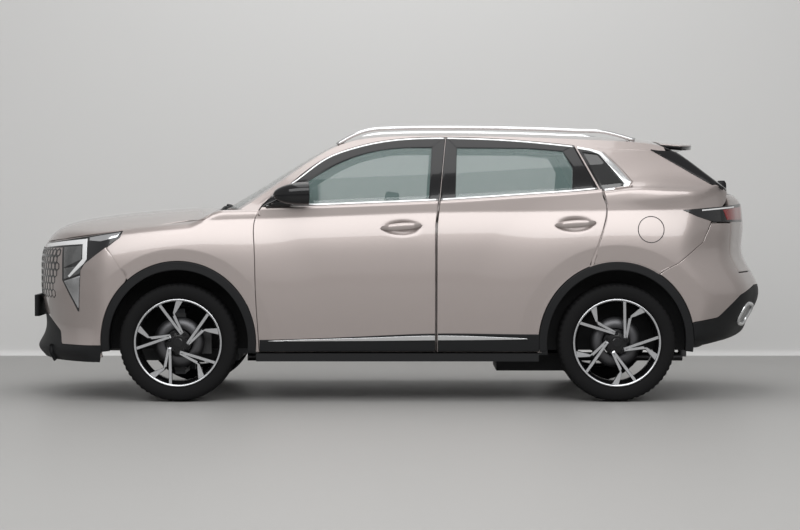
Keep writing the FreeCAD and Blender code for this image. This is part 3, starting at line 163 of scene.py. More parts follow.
# Values of the form: sweeps, drops and crowns are shares, edges and swells are metres
NOSE_ROUND, NOSE_CORNER = 0.3534, 0.20
TAIL_ROUND, TAIL_CORNER = 0.279, 0.28
END_SLOPE = 0.8
FULLER, FULLER_FROM, FULLER_TO = 0.030, 0.45, 0.75
SWELL, SWELL_BAND, SWELL_FADE = 0.010, 0.09, 0.40
SWELL_REACH = ((FRONT_AXLE, 0.572), (REAR_AXLE, 0.594))
SHOULDER_LEAN = 0.02
BONNET_SWEEP, DECK_SWEEP, PILLAR_SWEEP = 0.55, 0.5, 0.15
BONNET_DROP, DECK_DROP, PILLAR_DROP = 0.093, 0.055, 0.025
HOUSE_LEAN, HOUSE_BOW = 0.36, 0.65
SCREEN_CROWN, ROOF_CROWN = 0.13, 0.070
BODY_EDGE, HOUSE_EDGE = 0.012, 0.014


def nose_sweep(y):
    """How far the nose has swept back at a place across: a square plus a fourth power."""
    share = y / WIDE
    return (NOSE_ROUND * share ** 2 + NOSE_CORNER * share ** 4) * WIDE


def tail_sweep(y):
    """The same for the tail, which sweeps forward."""
    share = y / WIDE
    return (TAIL_ROUND * share ** 2 + TAIL_CORNER * share ** 4) * WIDE


def tail_room(x, y, z):
    """Distance ahead of the swept tail, whose corners stand out so that their rounding fits."""
    fuller = FULLER * ease(FULLER_FROM, FULLER_TO, np.abs(y))
    return (tail_line(z) - tail_sweep(y) - x) * END_SLOPE + fuller


def flare(x, z):
    """Swell round each wheel arch: up to a line round the arch, then off again in a flat band."""
    swell = 0
    for axle, reach in SWELL_REACH:
        far = np.hypot(x - axle, z - AXLE_HIGH)
        rising = np.clip(1 - (reach - far) / SWELL_BAND, 0, 1)
        swell = swell + SWELL * np.where(far < reach, rising, ease(reach + SWELL_FADE, reach, far))
    return swell


def side_half(x, z):
    """Half width of the lower body: plan minus the section's inset, then the lean above the crease."""
    crease = crease_line(x)
    share = (z - SILL) / (crease - SILL)
    below = plan_line(x) - section_line(np.minimum(share, 1)) + flare(x, z)
    return below - SHOULDER_LEAN * np.maximum(z - crease, 0)


def to_tail(x):
    """Share of the tail's own form, which takes over behind the rear doors."""
    return ease(along(0.56), along(0.72), x)


def top_height(x, y):
    """Height of the bonnet, of the shoulder under the glass and of the tail deck, eased together."""
    side = (y / WIDE) ** 2
    front = bonnet_line(x - BONNET_SWEEP * nose_sweep(y)) - BONNET_DROP * WIDE * side
    rear = tail_top(x + DECK_SWEEP * tail_sweep(y)) - DECK_DROP * WIDE * side
    to_cabin = ease(along(-0.56), along(-0.46), x)
    height = front * (1 - to_cabin) + belt_line(x) * to_cabin
    return height * (1 - to_tail(x)) + rear * to_tail(x)


def house_half(x, z):
    """Half width of the greenhouse: its plan at the belt minus a lean that grows with height."""
    rise = (z - belt_line(x)) / TALL
    lean = HOUSE_LEAN * rise + np.where(rise > 0, HOUSE_BOW * rise ** 2, 0)
    return house_plan(x) - lean * TALL


def house_top(x, y):
    """Height of the screen and the roof: the middle line minus a crown, flatter on the roof."""
    to_roof = ease(along(-0.45), along(-0.1), x)
    crown = SCREEN_CROWN * (1 - to_roof) + ROOF_CROWN * to_roof
    return roof_line(x) - crown * WIDE * (y / WIDE) ** 2


def on_roof(x, y, lift=0.0):
    """Top-view places laid on the greenhouse, raised by a little."""
    return np.stack(np.broadcast_arrays(x, y, house_top(x, y) + lift), -1)


def least(values, reach):
    """Smooth least of several depths, so that the surfaces meet in a rounded edge."""
    low = np.min(values, 0)
    return low - reach * np.log(sum(np.exp(-(v - low) / reach) for v in values))


def body_depth(p):
    """How far a place lies inside the lower body."""
    x, y, z = p[..., 0], p[..., 1], p[..., 2]
    nose_room = (x - nose_line(z) - nose_sweep(y)) * END_SLOPE
    return least([side_half(x, z) - np.abs(y), top_height(x, y) - z, nose_room,
                  tail_room(x, y, z)], BODY_EDGE)


def house_depth(p):
    """How far a place lies inside the greenhouse."""
    x, y, z = p[..., 0], p[..., 1], p[..., 2]
    return least([house_half(x, z) - np.abs(y), house_top(x, y) - z], HOUSE_EDGE)


def outward(points, origin, depth, proud=0.0):
    """Moves points along rays from their origins until they lie on a form's surface."""
    ray = points - origin
    ray = ray / np.linalg.norm(ray, axis=-1, keepdims=True)
    near = np.zeros(points.shape[:-1])
    far = np.full(points.shape[:-1], 3.2)
    for _ in range(34):
        middle = (near + far) / 2
        inside = depth(origin + ray * middle[..., None]) > -proud
        near = np.where(inside, middle, near)
        far = np.where(inside, far, middle)
    return origin + ray * near[..., None]


def from_point(points, origin, proud=0.0):
    """The same on the lower body, along rays from one place inside it."""
    return outward(points, np.broadcast_to(origin, points.shape), body_depth, proud)


def laid(chart, depth=body_depth, proud=0.0):
    """Side-view places laid on the left of a form, straight out from the car's middle plane."""
    origin = np.stack([chart[..., 0], chart[..., 0] * 0, chart[..., 1]], -1)
    return outward(origin + np.array([0.0, -1.0, 0.0]), origin, depth, proud)


def spaced(points, count):
    """A line through points, read at even steps of its length."""
    points = np.asarray(points, float)
    step = np.linalg.norm(np.diff(points, axis=0), axis=1)
    run = np.concatenate([[0], np.cumsum(step)])
    want = np.linspace(0, run[-1], count)
    return np.stack([np.interp(want, run, points[:, k]) for k in range(points.shape[1])], 1)


def rounded(points, count=60):
    """A smooth line through places: one natural spline per coordinate over the chord length."""
    points = np.asarray(points, float)
    run = np.concatenate([[0], np.cumsum(np.linalg.norm(np.diff(points, axis=0), axis=1))])
    want = np.linspace(0, run[-1], count)
    return np.stack([curve(np.stack([run, points[:, k]], 1))(want)
                     for k in range(points.shape[1])], 1)


def patch(low, high, left, right, rows, cols):
    """Blend of four border lines: low to high plus left to right, less the corners' own blend."""
    low, high = spaced(low, cols), spaced(high, cols)
    left, right = spaced(left, rows), spaced(right, rows)
    u = np.linspace(0, 1, cols)[None, :, None]
    v = np.linspace(0, 1, rows)[:, None, None]
    across = (1 - v) * low[None] + v * high[None] + (1 - u) * left[:, None] + u * right[:, None]
    return across - ((1 - u) * (1 - v) * low[0] + u * (1 - v) * low[-1]
                     + (1 - u) * v * high[0] + u * v * high[-1])


def band(inner, outer, rows, cols):
    """A strip between two lines, straight across."""
    inner, outer = spaced(inner, cols), spaced(outer, cols)
    v = np.linspace(0, 1, rows)[:, None, None]
    return inner[None] * (1 - v) + outer[None] * v


def grid_faces(rows, cols, start=0, wrap=False):
    """Four-cornered faces between neighbouring rows and columns, the last column to the first."""
    index = np.arange(rows * cols).reshape(rows, cols) + start
    if wrap:
        index = np.concatenate([index, index[:, :1]], 1)
    return np.stack([index[:-1, :-1], index[:-1, 1:], index[1:, 1:], index[1:, :-1]],
                    -1).reshape(-1, 4)


def unit(v):
    """Vectors brought to a length of one."""
    return v / np.maximum(np.linalg.norm(v, axis=-1, keepdims=True), 1e-12)


def grid_normals(grid):
    """Normals of a grid: the cross product of its two slopes, turned away from the car's middle."""
    normal = unit(np.cross(np.gradient(grid, axis=1), np.gradient(grid, axis=0)))
    facing = np.sum(normal * (grid - np.array([0.0, 0.0, 0.7])) * np.array([0.3, 1.0, 1.0]))
    return normal if facing > 0 else -normal


def mesh_piece(name, vertices, faces, materials, kinds=None, smooth=True):
    """A mesh object at the origin from vertex and face arrays, with one material number a face."""
    mesh = bpy.data.meshes.new(name)
    mesh.from_pydata(np.asarray(vertices, float).tolist(), [], np.asarray(faces).tolist()
                     if isinstance(faces, np.ndarray) else faces)
    for material in materials:
        mesh.materials.append(material)
    if kinds is not None:
        mesh.polygons.foreach_set("material_index", np.asarray(kinds, np.int32))
    if smooth:
        mesh.shade_smooth()
    mesh.update()
    obj = bpy.data.objects.new(name, mesh)
    bpy.context.scene.collection.objects.link(obj)
    return obj


def flip(vertices):
    """Places mirrored from the left to the right."""
    return np.asarray(vertices) * np.array([1.0, -1.0, 1.0])


def border_of(rows, cols):
    """Numbers of a grid's border places, once round."""
    index = np.arange(rows * cols).reshape(rows, cols)
    return np.concatenate([index[0, :-1], index[:-1, -1], index[-1, :0:-1], index[:0:-1, 0]])


def panel_shape(grid, gap=0.003, edge=0.004, depth=0.014, plain=None):
    """A thick panel from a grid: its borders roll over a quarter round and run in to a back face.

    The border points marked in plain lie on another panel's border and stay open and flat.
    """
    rows, cols = grid.shape[:2]
    normal = grid_normals(grid)
    loop = border_of(rows, cols)
    flat, flat_normal = grid.reshape(-1, 3).copy(), normal.reshape(-1, 3)
    inner = np.clip(np.stack(np.unravel_index(loop, (rows, cols)), 1), 1, [rows - 2, cols - 2])
    out = unit(flat[loop] - grid[inner[:, 0], inner[:, 1]])
    n = flat_normal[loop]
    out = unit(out - n * np.sum(out * n, 1, keepdims=True))
    rolled = np.ones(len(loop)) if plain is None else 1.0 - plain.reshape(-1)[loop]
    start = flat[loop] - out * (gap + edge) * rolled[:, None]
    flat[loop] = start
    rings = []
    for angle in (30, 60, 90):
        a = math.radians(angle)
        rings.append(start + out * edge * math.sin(a) - n * edge * (1 - math.cos(a)))
    rings.append(rings[-1] - n * (depth - edge))
    back = flat - flat_normal * depth
    count = len(loop)
    base = rows * cols
    vertices = np.concatenate([flat] + rings + [back])
    faces = [grid_faces(rows, cols)]
    ring = np.concatenate([loop[None], base + np.arange(4 * count).reshape(4, count),
                           (base + 4 * count + loop)[None]])
    ring = np.concatenate([ring, ring[:, :1]], 1)
    side = np.stack([ring[:-1, :-1], ring[1:, :-1], ring[1:, 1:], ring[:-1, 1:]], -1)
    faces.append(side[:, (rolled + np.roll(rolled, -1)) > 0].reshape(-1, 4))
    faces.append(grid_faces(rows, cols, base + 4 * count)[:, ::-1])
    faces = np.concatenate(faces)
    first = np.cross(grid[0, 1] - grid[0, 0], grid[1, 0] - grid[0, 0])
    if np.dot(first, normal[0, 0]) < 0:
        faces = faces[:, ::-1]
    return vertices, faces


def mirrored(shape):
    """A shape on the car's other side, its faces turned over so that they point outward."""
    vertices, faces = shape
    if isinstance(faces, np.ndarray):
        return flip(vertices), faces[:, ::-1]
    return flip(vertices), [face[::-1] for face in faces]


def fitted(name, body, shape, material, replaced=(), sides=ACROSS, smooth=True):
    """A shape as a finished piece on its body, mirrored for the right side where it has one."""
    for side, sign in sides:
        vertices, faces = shape if sign > 0 else mirrored(shape)
        label = name + "_" + side if side else name
        piece = mesh_piece(label, vertices, faces, [material], smooth=smooth)
        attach(piece, body.replace("SIDE", side))
        if replaced:
            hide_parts(*[node.replace("SIDE", side) for node in replaced])


def panels(name, body, material, grids, replaced=(), sides=SIDES, slot="paint", **shape):
    """Thick panels on the left and, mirrored, on the right; several grids join in one piece."""
    places, faces, start = [], [], 0
    for grid in grids:
        vertices, cells = panel_shape(np.asarray(grid), **shape)
        places.append(vertices)
        faces.append(cells + start)
        start += len(vertices)
    fitted(name, body, (np.concatenate(places), np.concatenate(faces)), material, replaced,
           sides)


def sweep_shape(path, profile, up=None, closed=False):
    """A profile carried along a path: each path point takes the profile in the plane across it."""
    path = np.asarray(path, float)
    profile = np.asarray(profile, float)
    tangent = unit(np.gradient(path, axis=0))
    up = np.array([0.0, 0.0, 1.0]) if up is None else np.asarray(up, float)
    side = unit(np.cross(tangent, np.broadcast_to(up, path.shape)))
    top = unit(np.cross(side, tangent))
    places = (path[:, None] + side[:, None] * profile[None, :, :1]
              + top[:, None] * profile[None, :, 1:2])
    rows, cols = places.shape[:2]
    faces = list(map(list, grid_faces(rows, cols, wrap=True)))
    if not closed:
        faces.append(list(range(cols))[::-1])
        faces.append(list(range((rows - 1) * cols, rows * cols)))
    return places.reshape(-1, 3), faces


def turned_shape(profile, count):
    """A profile of (axial, radius) places carried round the wheel's Y axis."""
    axial, radius = np.asarray(profile, float).T[:, :, None]
    angle = np.linspace(0, ROUND, count, endpoint=False)
    rows = np.stack(np.broadcast_arrays(radius * np.cos(angle), axial, radius * np.sin(angle)), -1)
    return rows.reshape(-1, 3), grid_faces(len(profile), count, wrap=True)


def joined(shapes):
    """Several (vertices, faces) shapes as one."""
    places, faces, start = [], [], 0
    for vertices, cells in shapes:
        places.append(np.asarray(vertices))
        faces += [[int(i) + start for i in cell] for cell in cells]
        start += len(vertices)
    return np.concatenate(places), faces


# Finishes

def clouded(name, colour, tint, scale, detail):
    """A material whose colour wanders a little either side of its own with a fine noise."""
    material = bpy.data.materials.new(name)
    material.use_nodes = True
    tree = material.node_tree
    shader = tree.nodes["Principled BSDF"]
    place = tree.nodes.new("ShaderNodeTexCoord")
    noise = tree.nodes.new("ShaderNodeTexNoise")
    noise.inputs["Scale"].default_value = scale
    noise.inputs["Detail"].default_value = detail
    tree.links.new(place.outputs["Object"], noise.inputs["Vector"])
    mix = tree.nodes.new("ShaderNodeMix")
    mix.data_type = "RGBA"
    mix.inputs[6].default_value = [c * (1 - tint) for c in colour] + [1]
    mix.inputs[7].default_value = [min(c * (1 + tint), 1) for c in colour] + [1]
    tree.links.new(noise.outputs["Fac"], mix.inputs[0])
    tree.links.new(mix.outputs[2], shader.inputs["Base Color"])
    return material, tree, shader, noise


def finish(name, colour, rough, metal=0.0, coat=0.0, tint=0.06, scale=60.0, bump=0.02,
           depth=0.0004, shine=0.5):
    """A finish with fine cloudy colour and bump, so that no surface is one flat colour."""
    material, tree, shader, noise = clouded(name, colour, tint, scale, 4)
    relief = tree.nodes.new("ShaderNodeBump")
    relief.inputs["Strength"].default_value = bump
    relief.inputs["Distance"].default_value = depth
    tree.links.new(noise.outputs["Fac"], relief.inputs["Height"])
    tree.links.new(relief.outputs["Normal"], shader.inputs["Normal"])
    shader.inputs["Roughness"].default_value = rough
    shader.inputs["Metallic"].default_value = metal
    shader.inputs["Specular IOR Level"].default_value = shine
    shader.inputs["Coat Weight"].default_value = coat
    shader.inputs["Coat Roughness"].default_value = 0.03
    return material


def glass(name, colour, clear):
    """Tinted glass: part clear, part a dark reflecting surface."""
    material, _, shader, _ = clouded(name, colour, 0.04, 3, 2)
    shader.inputs["Roughness"].default_value = 0.0
    shader.inputs["Transmission Weight"].default_value = 0.0
    shader.inputs["Alpha"].default_value = 1 - clear
    shader.inputs["Coat Weight"].default_value = 1.0
    shader.inputs["Coat Roughness"].default_value = 0.0
    return material


paint = finish("champagne_paint", (0.40, 0.350, 0.335), 0.34, metal=0.55, coat=1.0, tint=0.05,
               scale=900, bump=0.03, depth=0.00005)
black_plastic = finish("grained_black_plastic", (0.012, 0.0125, 0.0135), 0.55, scale=700, bump=0.25,
                       shine=0.2)
black_gloss = finish("gloss_black", (0.006, 0.006, 0.007), 0.12, coat=0.5, tint=0.1, scale=20,
                     shine=0.2)
rubber = finish("tyre_rubber", (0.008, 0.008, 0.0085), 0.75, scale=300, bump=0.2, shine=0.12)
chrome = finish("satin_chrome", (0.72, 0.73, 0.74), 0.16, metal=1.0, scale=200, bump=0.01)
machined = finish("machined_rim", (0.62, 0.63, 0.65), 0.22, metal=1.0, scale=500, bump=0.05)
rim_black = finish("rim_black", (0.006, 0.006, 0.0065), 0.22, coat=0.3, scale=60, shine=0.2)
disc_steel = finish("disc_steel", (0.10, 0.10, 0.105), 0.4, metal=1.0, scale=150, bump=0.1)
under_steel = finish("coated_steel", (0.05, 0.052, 0.055), 0.5, metal=0.6, scale=50, bump=0.15)
cast = finish("cast_iron", (0.09, 0.09, 0.092), 0.6, metal=0.7, scale=120, bump=0.3)
cloth = finish("seat_cloth", (0.045, 0.046, 0.05), 0.85, scale=900, bump=0.5)
trim_dark = finish("soft_dash", (0.03, 0.031, 0.033), 0.7, scale=500, bump=0.3)
lamp_dark = finish("lamp_housing", (0.010, 0.0105, 0.012), 0.15, coat=0.6, scale=40, shine=0.3)
lamp_lens = finish("lamp_lens", (0.085, 0.088, 0.09), 0.18, coat=1.0, tint=0.25, scale=60)
lamp_white = finish("lamp_white", (0.88, 0.89, 0.90), 0.2, coat=1.0, tint=0.02, scale=90)
lamp_silver = finish("lamp_reflector", (0.65, 0.66, 0.68), 0.12, metal=1.0, scale=90)
lamp_red = finish("lamp_red", (0.24, 0.012, 0.014), 0.12, coat=1.0, tint=0.2, scale=160)
pale_glass = glass("pale_glass", (0.21, 0.30, 0.29), clear=0.72)
dark_glass = glass("dark_glass", (0.012, 0.013, 0.014), clear=0.12)

# Outlines in side view
door_front = rounded(at([(-0.370, 0.181), (-0.379, 0.411), (-0.3835, 0.594), (-0.381, 0.671),
                         (-0.364, 0.716)]))
door_post = at([(0.0975, 0.181), (0.0975, 0.58), (0.0985, 0.655), (0.106, 0.738)])
rear_post = at([(0.1005, 0.181), (0.101, 0.58), (0.102, 0.655), (0.1095, 0.741)])
front_top = rounded(at([(-0.364, 0.716), (-0.358, 0.729), (-0.283, 0.808), (-0.195, 0.897),
                        (-0.130, 0.933), (-0.068, 0.955), (0.018, 0.971), (0.124, 0.975)]), 80)
rear_top = rounded(at([(0.1275, 0.975), (0.271, 0.968), (0.356, 0.959), (0.467, 0.943)]))


def arch(x, start, end, wide=0.475, high=0.497):
    """Part of a wheel arch's line, by angles in degrees from the rear horizontal."""
    angle = np.radians(np.linspace(start, end, 60))
    return np.stack([x + wide * np.cos(angle), AXLE_HIGH + high * np.sin(angle)], 1)


LEDGE, ROLL = 0.012, 0.012
CUPS = ((0.030, 1.058), (1.078, 1.080))
CUP_DEEP, CUP_LONG, CUP_TALL = 0.014, 0.088, 0.036


def flank(chart):
    """The door side over (length, height): up to the belt, round its edge, in along the ledge.

    A cup is pressed in behind each handle: a bell curve of the fourth power of its distance.
    """
    x, s = chart[..., 0], chart[..., 1]
    cup = sum(np.exp(-(((x - a) / CUP_LONG) ** 2 + ((s - b) / CUP_TALL) ** 2) ** 2)
              for a, b in CUPS)
    proud = -CUP_DEEP * cup
    start = belt_line(x) + LEDGE - ROLL
    turn = np.clip((s - start) / ROLL, 0, math.pi / 2)
    z = np.minimum(s, start) + ROLL * np.sin(turn)
    inward = ROLL * (1 - np.cos(turn)) + np.maximum(s - start - ROLL * math.pi / 2, 0)
    y = side_half(x, np.minimum(s, start)) - inward + proud
    return np.stack([x, -y, z + proud * np.sin(turn)], -1)


def upper(chart, proud=0.0):
    """The greenhouse side over (length, height)."""
    x, z = chart[..., 0], chart[..., 1]
    return np.stack([x, -(house_half(x, z) + proud), z], -1)


def door_skin(door, low, front, back, start, end):
    """A door below its glass: up to the belt's edge, then a stretch of the ledge inward."""
    x = np.linspace(start, end, 40)
    ledge = np.stack([x, belt_line(x) + LEDGE + 0.030], 1)
    grid = patch(low, ledge, np.concatenate([front, ledge[:1]]),
                 np.concatenate([back, ledge[-1:]]), 110, 96)
    panels(door + "_skin", door + "_SIDE", paint, [flank(grid)], [door + "_SIDE"], gap=0.0025,
           edge=0.003, depth=0.10)


door_skin("front_door", at([(-0.370, 0.181), (0.0975, 0.181)]), door_front, door_post,
          along(-0.364), along(0.107))
rear_edge = at([(0.506, 0.506), (0.546, 0.667), (0.549, 0.722), (0.5405, 0.752)])
rear_start = arch(REAR_AXLE, 187.0, 109.5)
door_skin("rear_door", np.concatenate([at([(0.1015, 0.181)]), rear_start[:1]]), rear_post,
          np.concatenate([rear_start, rounded(rear_edge, 30)]), along(0.11), along(0.537))

# Door frames round the glass
front_glass = at([(-0.300, 0.7205), (0.080, 0.7385), (0.088, 0.936), (-0.020, 0.932),
                  (-0.128, 0.897), (-0.215, 0.835), (-0.300, 0.758)])
rear_glass = at([(0.150, 0.7465), (0.459, 0.7735), (0.462, 0.860), (0.437, 0.922),
                 (0.345, 0.933), (0.155, 0.935)])
quarter_glass = at([(0.541, 0.781), (0.589, 0.790), (0.592, 0.807), (0.529, 0.912),
                    (0.490, 0.919)])
front_inner_top = rounded(front_glass[[6, 5, 4, 3, 2]], 60)
front_frame_top = band(front_inner_top, front_top, 7, 80)
front_frame_post = band(front_glass[[2, 1]], np.array([front_top[-1], at([(0.1068, 0.738)])[0]]),
                        7, 30)
panels("front_door_frame", "front_door_SIDE", black_gloss,
       [upper(front_frame_top, 0.0005), upper(front_frame_post, 0.0005)], gap=0.0, edge=0.002,
       depth=0.040, slot="black_gloss")
rear_frame_top = band(rear_glass[[5, 4, 3]], rear_top, 7, 60)
rear_frame_back = band(rear_glass[[3, 2, 1]], at([(0.467, 0.943), (0.505, 0.845),
                                                   (0.529, 0.777)]), 7, 40)
rear_frame_post = band(rear_glass[[0, 5]], at([(0.1098, 0.741), (0.1275, 0.975)]), 7, 40)
panels("rear_door_frame", "rear_door_SIDE", black_gloss,
       [upper(rear_frame_top, 0.0005), upper(rear_frame_back, 0.0005),
        upper(rear_frame_post, 0.0005)], gap=0.0, edge=0.002, depth=0.040, slot="black_gloss")

# Black sheet on the post behind the doors' gap: painted shade, so that the gap shows dark
post_cover = band(at([(0.092, 0.742), (0.092, 0.972)]), at([(0.146, 0.745), (0.146, 0.972)]), 8, 30)
panels("post_cover", "body", black_gloss, [upper(post_cover, -0.012)], gap=0.0, edge=0.001,
       depth=0.01, slot="black_gloss")

# Front fender: a strip from the arch out to the lamp, the bonnet's cut and the door
fender_low = arch(FRONT_AXLE, 130, -7.0)
fender_outer = np.concatenate([
    at([(-0.775, 0.566), (-0.740, 0.604), (-0.7335, 0.630), (-0.633, 0.651), (-0.514, 0.6695),
        (-0.487, 0.7045)]),
    at([(-0.440, 0.7065), (-0.370, 0.7095)]),
    door_front[::-1][1:],
    at([(-0.372, 0.181)])])
fender_grid = band(fender_low, spaced(fender_outer, 400), 60, 170)
panels("front_fender", "body", paint, [laid(fender_grid)], ["front_fenders"], gap=0.0015,
       edge=0.002, depth=0.02)

# Rear quarter: from the arch up to the glass, the roof and the tailgate's line
fin_low = at([(0.672, 0.928), (0.715, 0.893), (0.773, 0.846), (0.834, 0.797), (0.862, 0.789),
              (0.887, 0.7845)])
quarter_outer = at([(0.541, 0.777), (0.609, 0.788), (0.6175, 0.810), (0.579, 0.871),
                    (0.541, 0.9225)])
quarter_low = arch(REAR_AXLE, 108.5, 57)
quarter_left = np.concatenate([quarter_low[:1], at([(0.548, 0.667), (0.551, 0.722)]),
                               quarter_outer])
quarter_high = np.concatenate([quarter_outer[-1:], at([(0.60, 0.9262), (0.672, 0.929)])])
quarter_right = np.concatenate([quarter_low[-1:], at([(0.698, 0.480), (0.739, 0.510),
                                (0.808, 0.587), (0.832, 0.662), (0.877, 0.735), (0.882, 0.772)]),
                                fin_low[:5][::-1]])
quarter_grid = patch(quarter_low, quarter_high, quarter_left, quarter_right, 150, 80)


def quarter_depth(p):
    """The form behind the doors: the shoulder runs on to the lamp and meets the pillar softly."""
    x, y, z = p[..., 0], p[..., 1], p[..., 2]
    shoulder = tail_top(x + PILLAR_SWEEP * tail_sweep(y)) - PILLAR_DROP * WIDE * (y / WIDE) ** 2
    top = belt_line(x) * (1 - to_tail(x)) + shoulder * to_tail(x)
    low = least([side_half(x, z) - np.abs(y), top - z, tail_room(x, y, z)], BODY_EDGE)
    house = least([house_half(x, z) - np.abs(y), house_top(x, y) - z, z - belt_line(x) + 0.05],
                  HOUSE_EDGE)
    reach = 0.010 + 0.030 * to_tail(x)
    high = np.maximum(low, house)
    return high + reach * np.log(np.exp((low - high) / reach) + np.exp((house - high) / reach))


panels("rear_quarter", "body", paint, [laid(quarter_grid, quarter_depth, 0.0015)], [], depth=0.01,
       gap=0.002)


def hoops(stations, low_height, end_place, rows):
    """Rows of cross-sections: each climbs the side from its low height and runs in over the top.

    A section is read along a fan of rays from a place below its low end.
    """
    angle = np.linspace(-0.35, math.pi / 2, 400)
    ray = np.stack([angle * 0, -np.cos(angle), np.sin(angle)], 1)
    grid = []
    for x, low in zip(stations, low_height):
        origin = np.array([x, 0.0, low - 0.25])
        line = outward(origin + ray, np.broadcast_to(origin, ray.shape), house_depth, 0.001)
        edge = end_place(x)
        kept = line[(line[:, 2] >= low) & (line[:, 1] <= -edge)]
        if len(kept) < 2:
            kept = np.array([[x, -edge - 0.002, low], [x, -edge, low]])
        grid.append(spaced(kept, rows))
    return np.array(grid).transpose(1, 0, 2)


rail_low = curve(at([(-0.165, 0.9175), (-0.130, 0.9345), (-0.068, 0.9565), (0.018, 0.9725),
                     (0.124, 0.9765), (0.271, 0.9695), (0.356, 0.9605), (0.467, 0.9445),
                     (0.50, 0.935), (0.60, 0.9255), (0.71, 0.918)]))
roof_stations = np.linspace(along(-0.163), along(0.703), 70)
half_roof = hoops(roof_stations, rail_low(roof_stations), lambda x: 0.0, 60)
full_roof = np.concatenate([half_roof, flip(half_roof[::-1][1:])])
panels("roof_skin", "body", paint, [full_roof], ["roof_panel"], sides=ACROSS, gap=0.0015,
       depth=0.02)
pillar_low = curve(at([(-0.470, 0.7165), (-0.380, 0.7165), (-0.362, 0.728), (-0.283, 0.810),
                       (-0.195, 0.899), (-0.163, 0.9175)]))
pillar_stations = np.linspace(along(-0.455), along(-0.166), 50)


def screen_edge(x):
    """Where the windscreen ends across the car: a pillar's width in from the side."""
    return house_half(x, house_top(x, 0.62)) - 0.075


panels("windscreen_pillar", "body", paint,
       [hoops(pillar_stations, pillar_low(pillar_stations), screen_edge, 16)], [], gap=0.001,
       depth=0.008)

# Windscreen and the other glass, all set in by the same step
GLASS_IN = 0.004
screen_x = np.linspace(along(-0.470), along(-0.167), 40)[:, None]
screen_y = np.linspace(-1, 1, 50)[None] * (screen_edge(screen_x) + 0.006)
panels("windscreen", "body", pale_glass, [on_roof(screen_x, screen_y, -GLASS_IN)],
       ["fixed_windows"], sides=ACROSS, gap=0.0, edge=0.001, depth=0.005, slot="clear_glass")


def pane(name, body, low, high, left, right, material, replaced=(), slot="clear_glass"):
    """A window from its four border lines."""
    grid = upper(patch(low, high, left, right, 24, 40), -GLASS_IN)
    panels(name, body, material, [grid], replaced, gap=0.0, edge=0.001, depth=0.004, slot=slot)


pane("front_door_glass", "front_door_SIDE", front_glass[[0, 1]], front_inner_top,
     front_glass[[0, 6]], front_glass[[1, 2]], pale_glass, ["front_door_window_SIDE"])
pane("rear_door_glass", "rear_door_SIDE", rear_glass[[0, 1]], rear_glass[[5, 4, 3]],
     rear_glass[[0, 5]], rear_glass[[1, 2, 3]], pale_glass, ["rear_door_window_SIDE"])
pane("quarter_window", "body", quarter_glass[[0, 1]], quarter_glass[[4, 3]],
     quarter_glass[[0, 4]], quarter_glass[[1, 2, 3]], dark_glass, slot="dark_glass")


def strip(name, body, line, width, height=0.004):
    """A bright strip: a low rounded section carried along a line on the greenhouse side."""
    angle = np.linspace(0, math.pi, 7)
    section = np.stack([np.concatenate([np.cos(angle) * width / 2, [-width / 2, width / 2]]),
                        np.concatenate([np.sin(angle) * height, [-height, -height]])], 1)
    fitted(name, body, sweep_shape(upper(line), section, up=(0.0, -1.0, 0.15)), chrome,
           sides=SIDES)


def belt_strip_line(start, end):
    """A line just above the belt's ledge."""
    x = along(np.linspace(start, end, 50))
    return np.stack([x, belt_line(x) + LEDGE + 0.006], 1)


TOP_DROP = np.array([0.0, 0.007])
strip("front_belt_strip", "front_door_SIDE", belt_strip_line(-0.352, 0.104), 0.013)
strip("rear_belt_strip", "rear_door_SIDE", belt_strip_line(0.112, 0.526), 0.013)
strip("front_top_strip", "front_door_SIDE", front_top[6:] - TOP_DROP, 0.012)
strip("rear_top_strip", "rear_door_SIDE", rear_top - TOP_DROP, 0.012)
quarter_inner = at([(0.476, 0.9325), (0.512, 0.9235), (0.534, 0.911), (0.566, 0.858),
                    (0.5975, 0.8055), (0.594, 0.7925), (0.545, 0.783)])
quarter_edge = at([(0.476, 0.9405), (0.514, 0.9315), (0.542, 0.9205), (0.579, 0.870),
                   (0.6165, 0.810), (0.607, 0.7865), (0.545, 0.7765)])
chrome_grid = [upper(band(quarter_inner[[k, k + 1]], quarter_edge[[k, k + 1]], 4, 12), 0.006)
               for k in range(6)]
chrome_line = [np.concatenate([a[:, :-1] for a in chrome_grid[:-1]] + [chrome_grid[-1]], 1)]
panels("quarter_chrome", "body", chrome, chrome_line, gap=0.0, edge=0.002, depth=0.010,
       slot="silver")
quarter_frame_grid = band(np.concatenate([quarter_glass, quarter_glass[:1]]),
                          at([(0.536, 0.776), (0.604, 0.787), (0.609, 0.810), (0.535, 0.921),
                              (0.475, 0.937), (0.536, 0.776)]), 5, 120)
panels("quarter_frame", "body", black_gloss, [upper(quarter_frame_grid, 0.003)], gap=0.0,
       edge=0.001, depth=0.02, slot="black_gloss")

# Front end: the bonnet and the bumper meet at one cut line
cut_height = curve(at([(-1.00, 0.5795), (-0.972, 0.5845), (-0.85, 0.609), (-0.731, 0.6315),
                       (-0.633, 0.6505), (-0.540, 0.668), (-0.514, 0.6735), (-0.487, 0.708)]))


def across_nose(reach, height, guess=0.965, count=60):
    """Points across the nose where its height is a function of how far back it has swept."""
    y = np.linspace(-reach, reach, count)
    z = np.full(count, guess)
    for _ in range(12):
        x = nose_line(z) + nose_sweep(y)
        z = height(x)
    return np.stack([x, y, z], 1)


def front_place(y, z, proud=0.0):
    """Front-view places laid on the nose."""
    return np.stack(np.broadcast_arrays(nose_line(z) + nose_sweep(y) - proud, y, z), -1)


def round_end(left, across):
    """A line along the left side, across an end of the car and back along the right side."""
    return np.concatenate([left, across, flip(left[::-1])])


def between(line, inset):
    """Even places across the car from the end of a left line to the end of its mirror image."""
    return np.linspace(line[-1, 1] + inset, -line[-1, 1] - inset, 60)


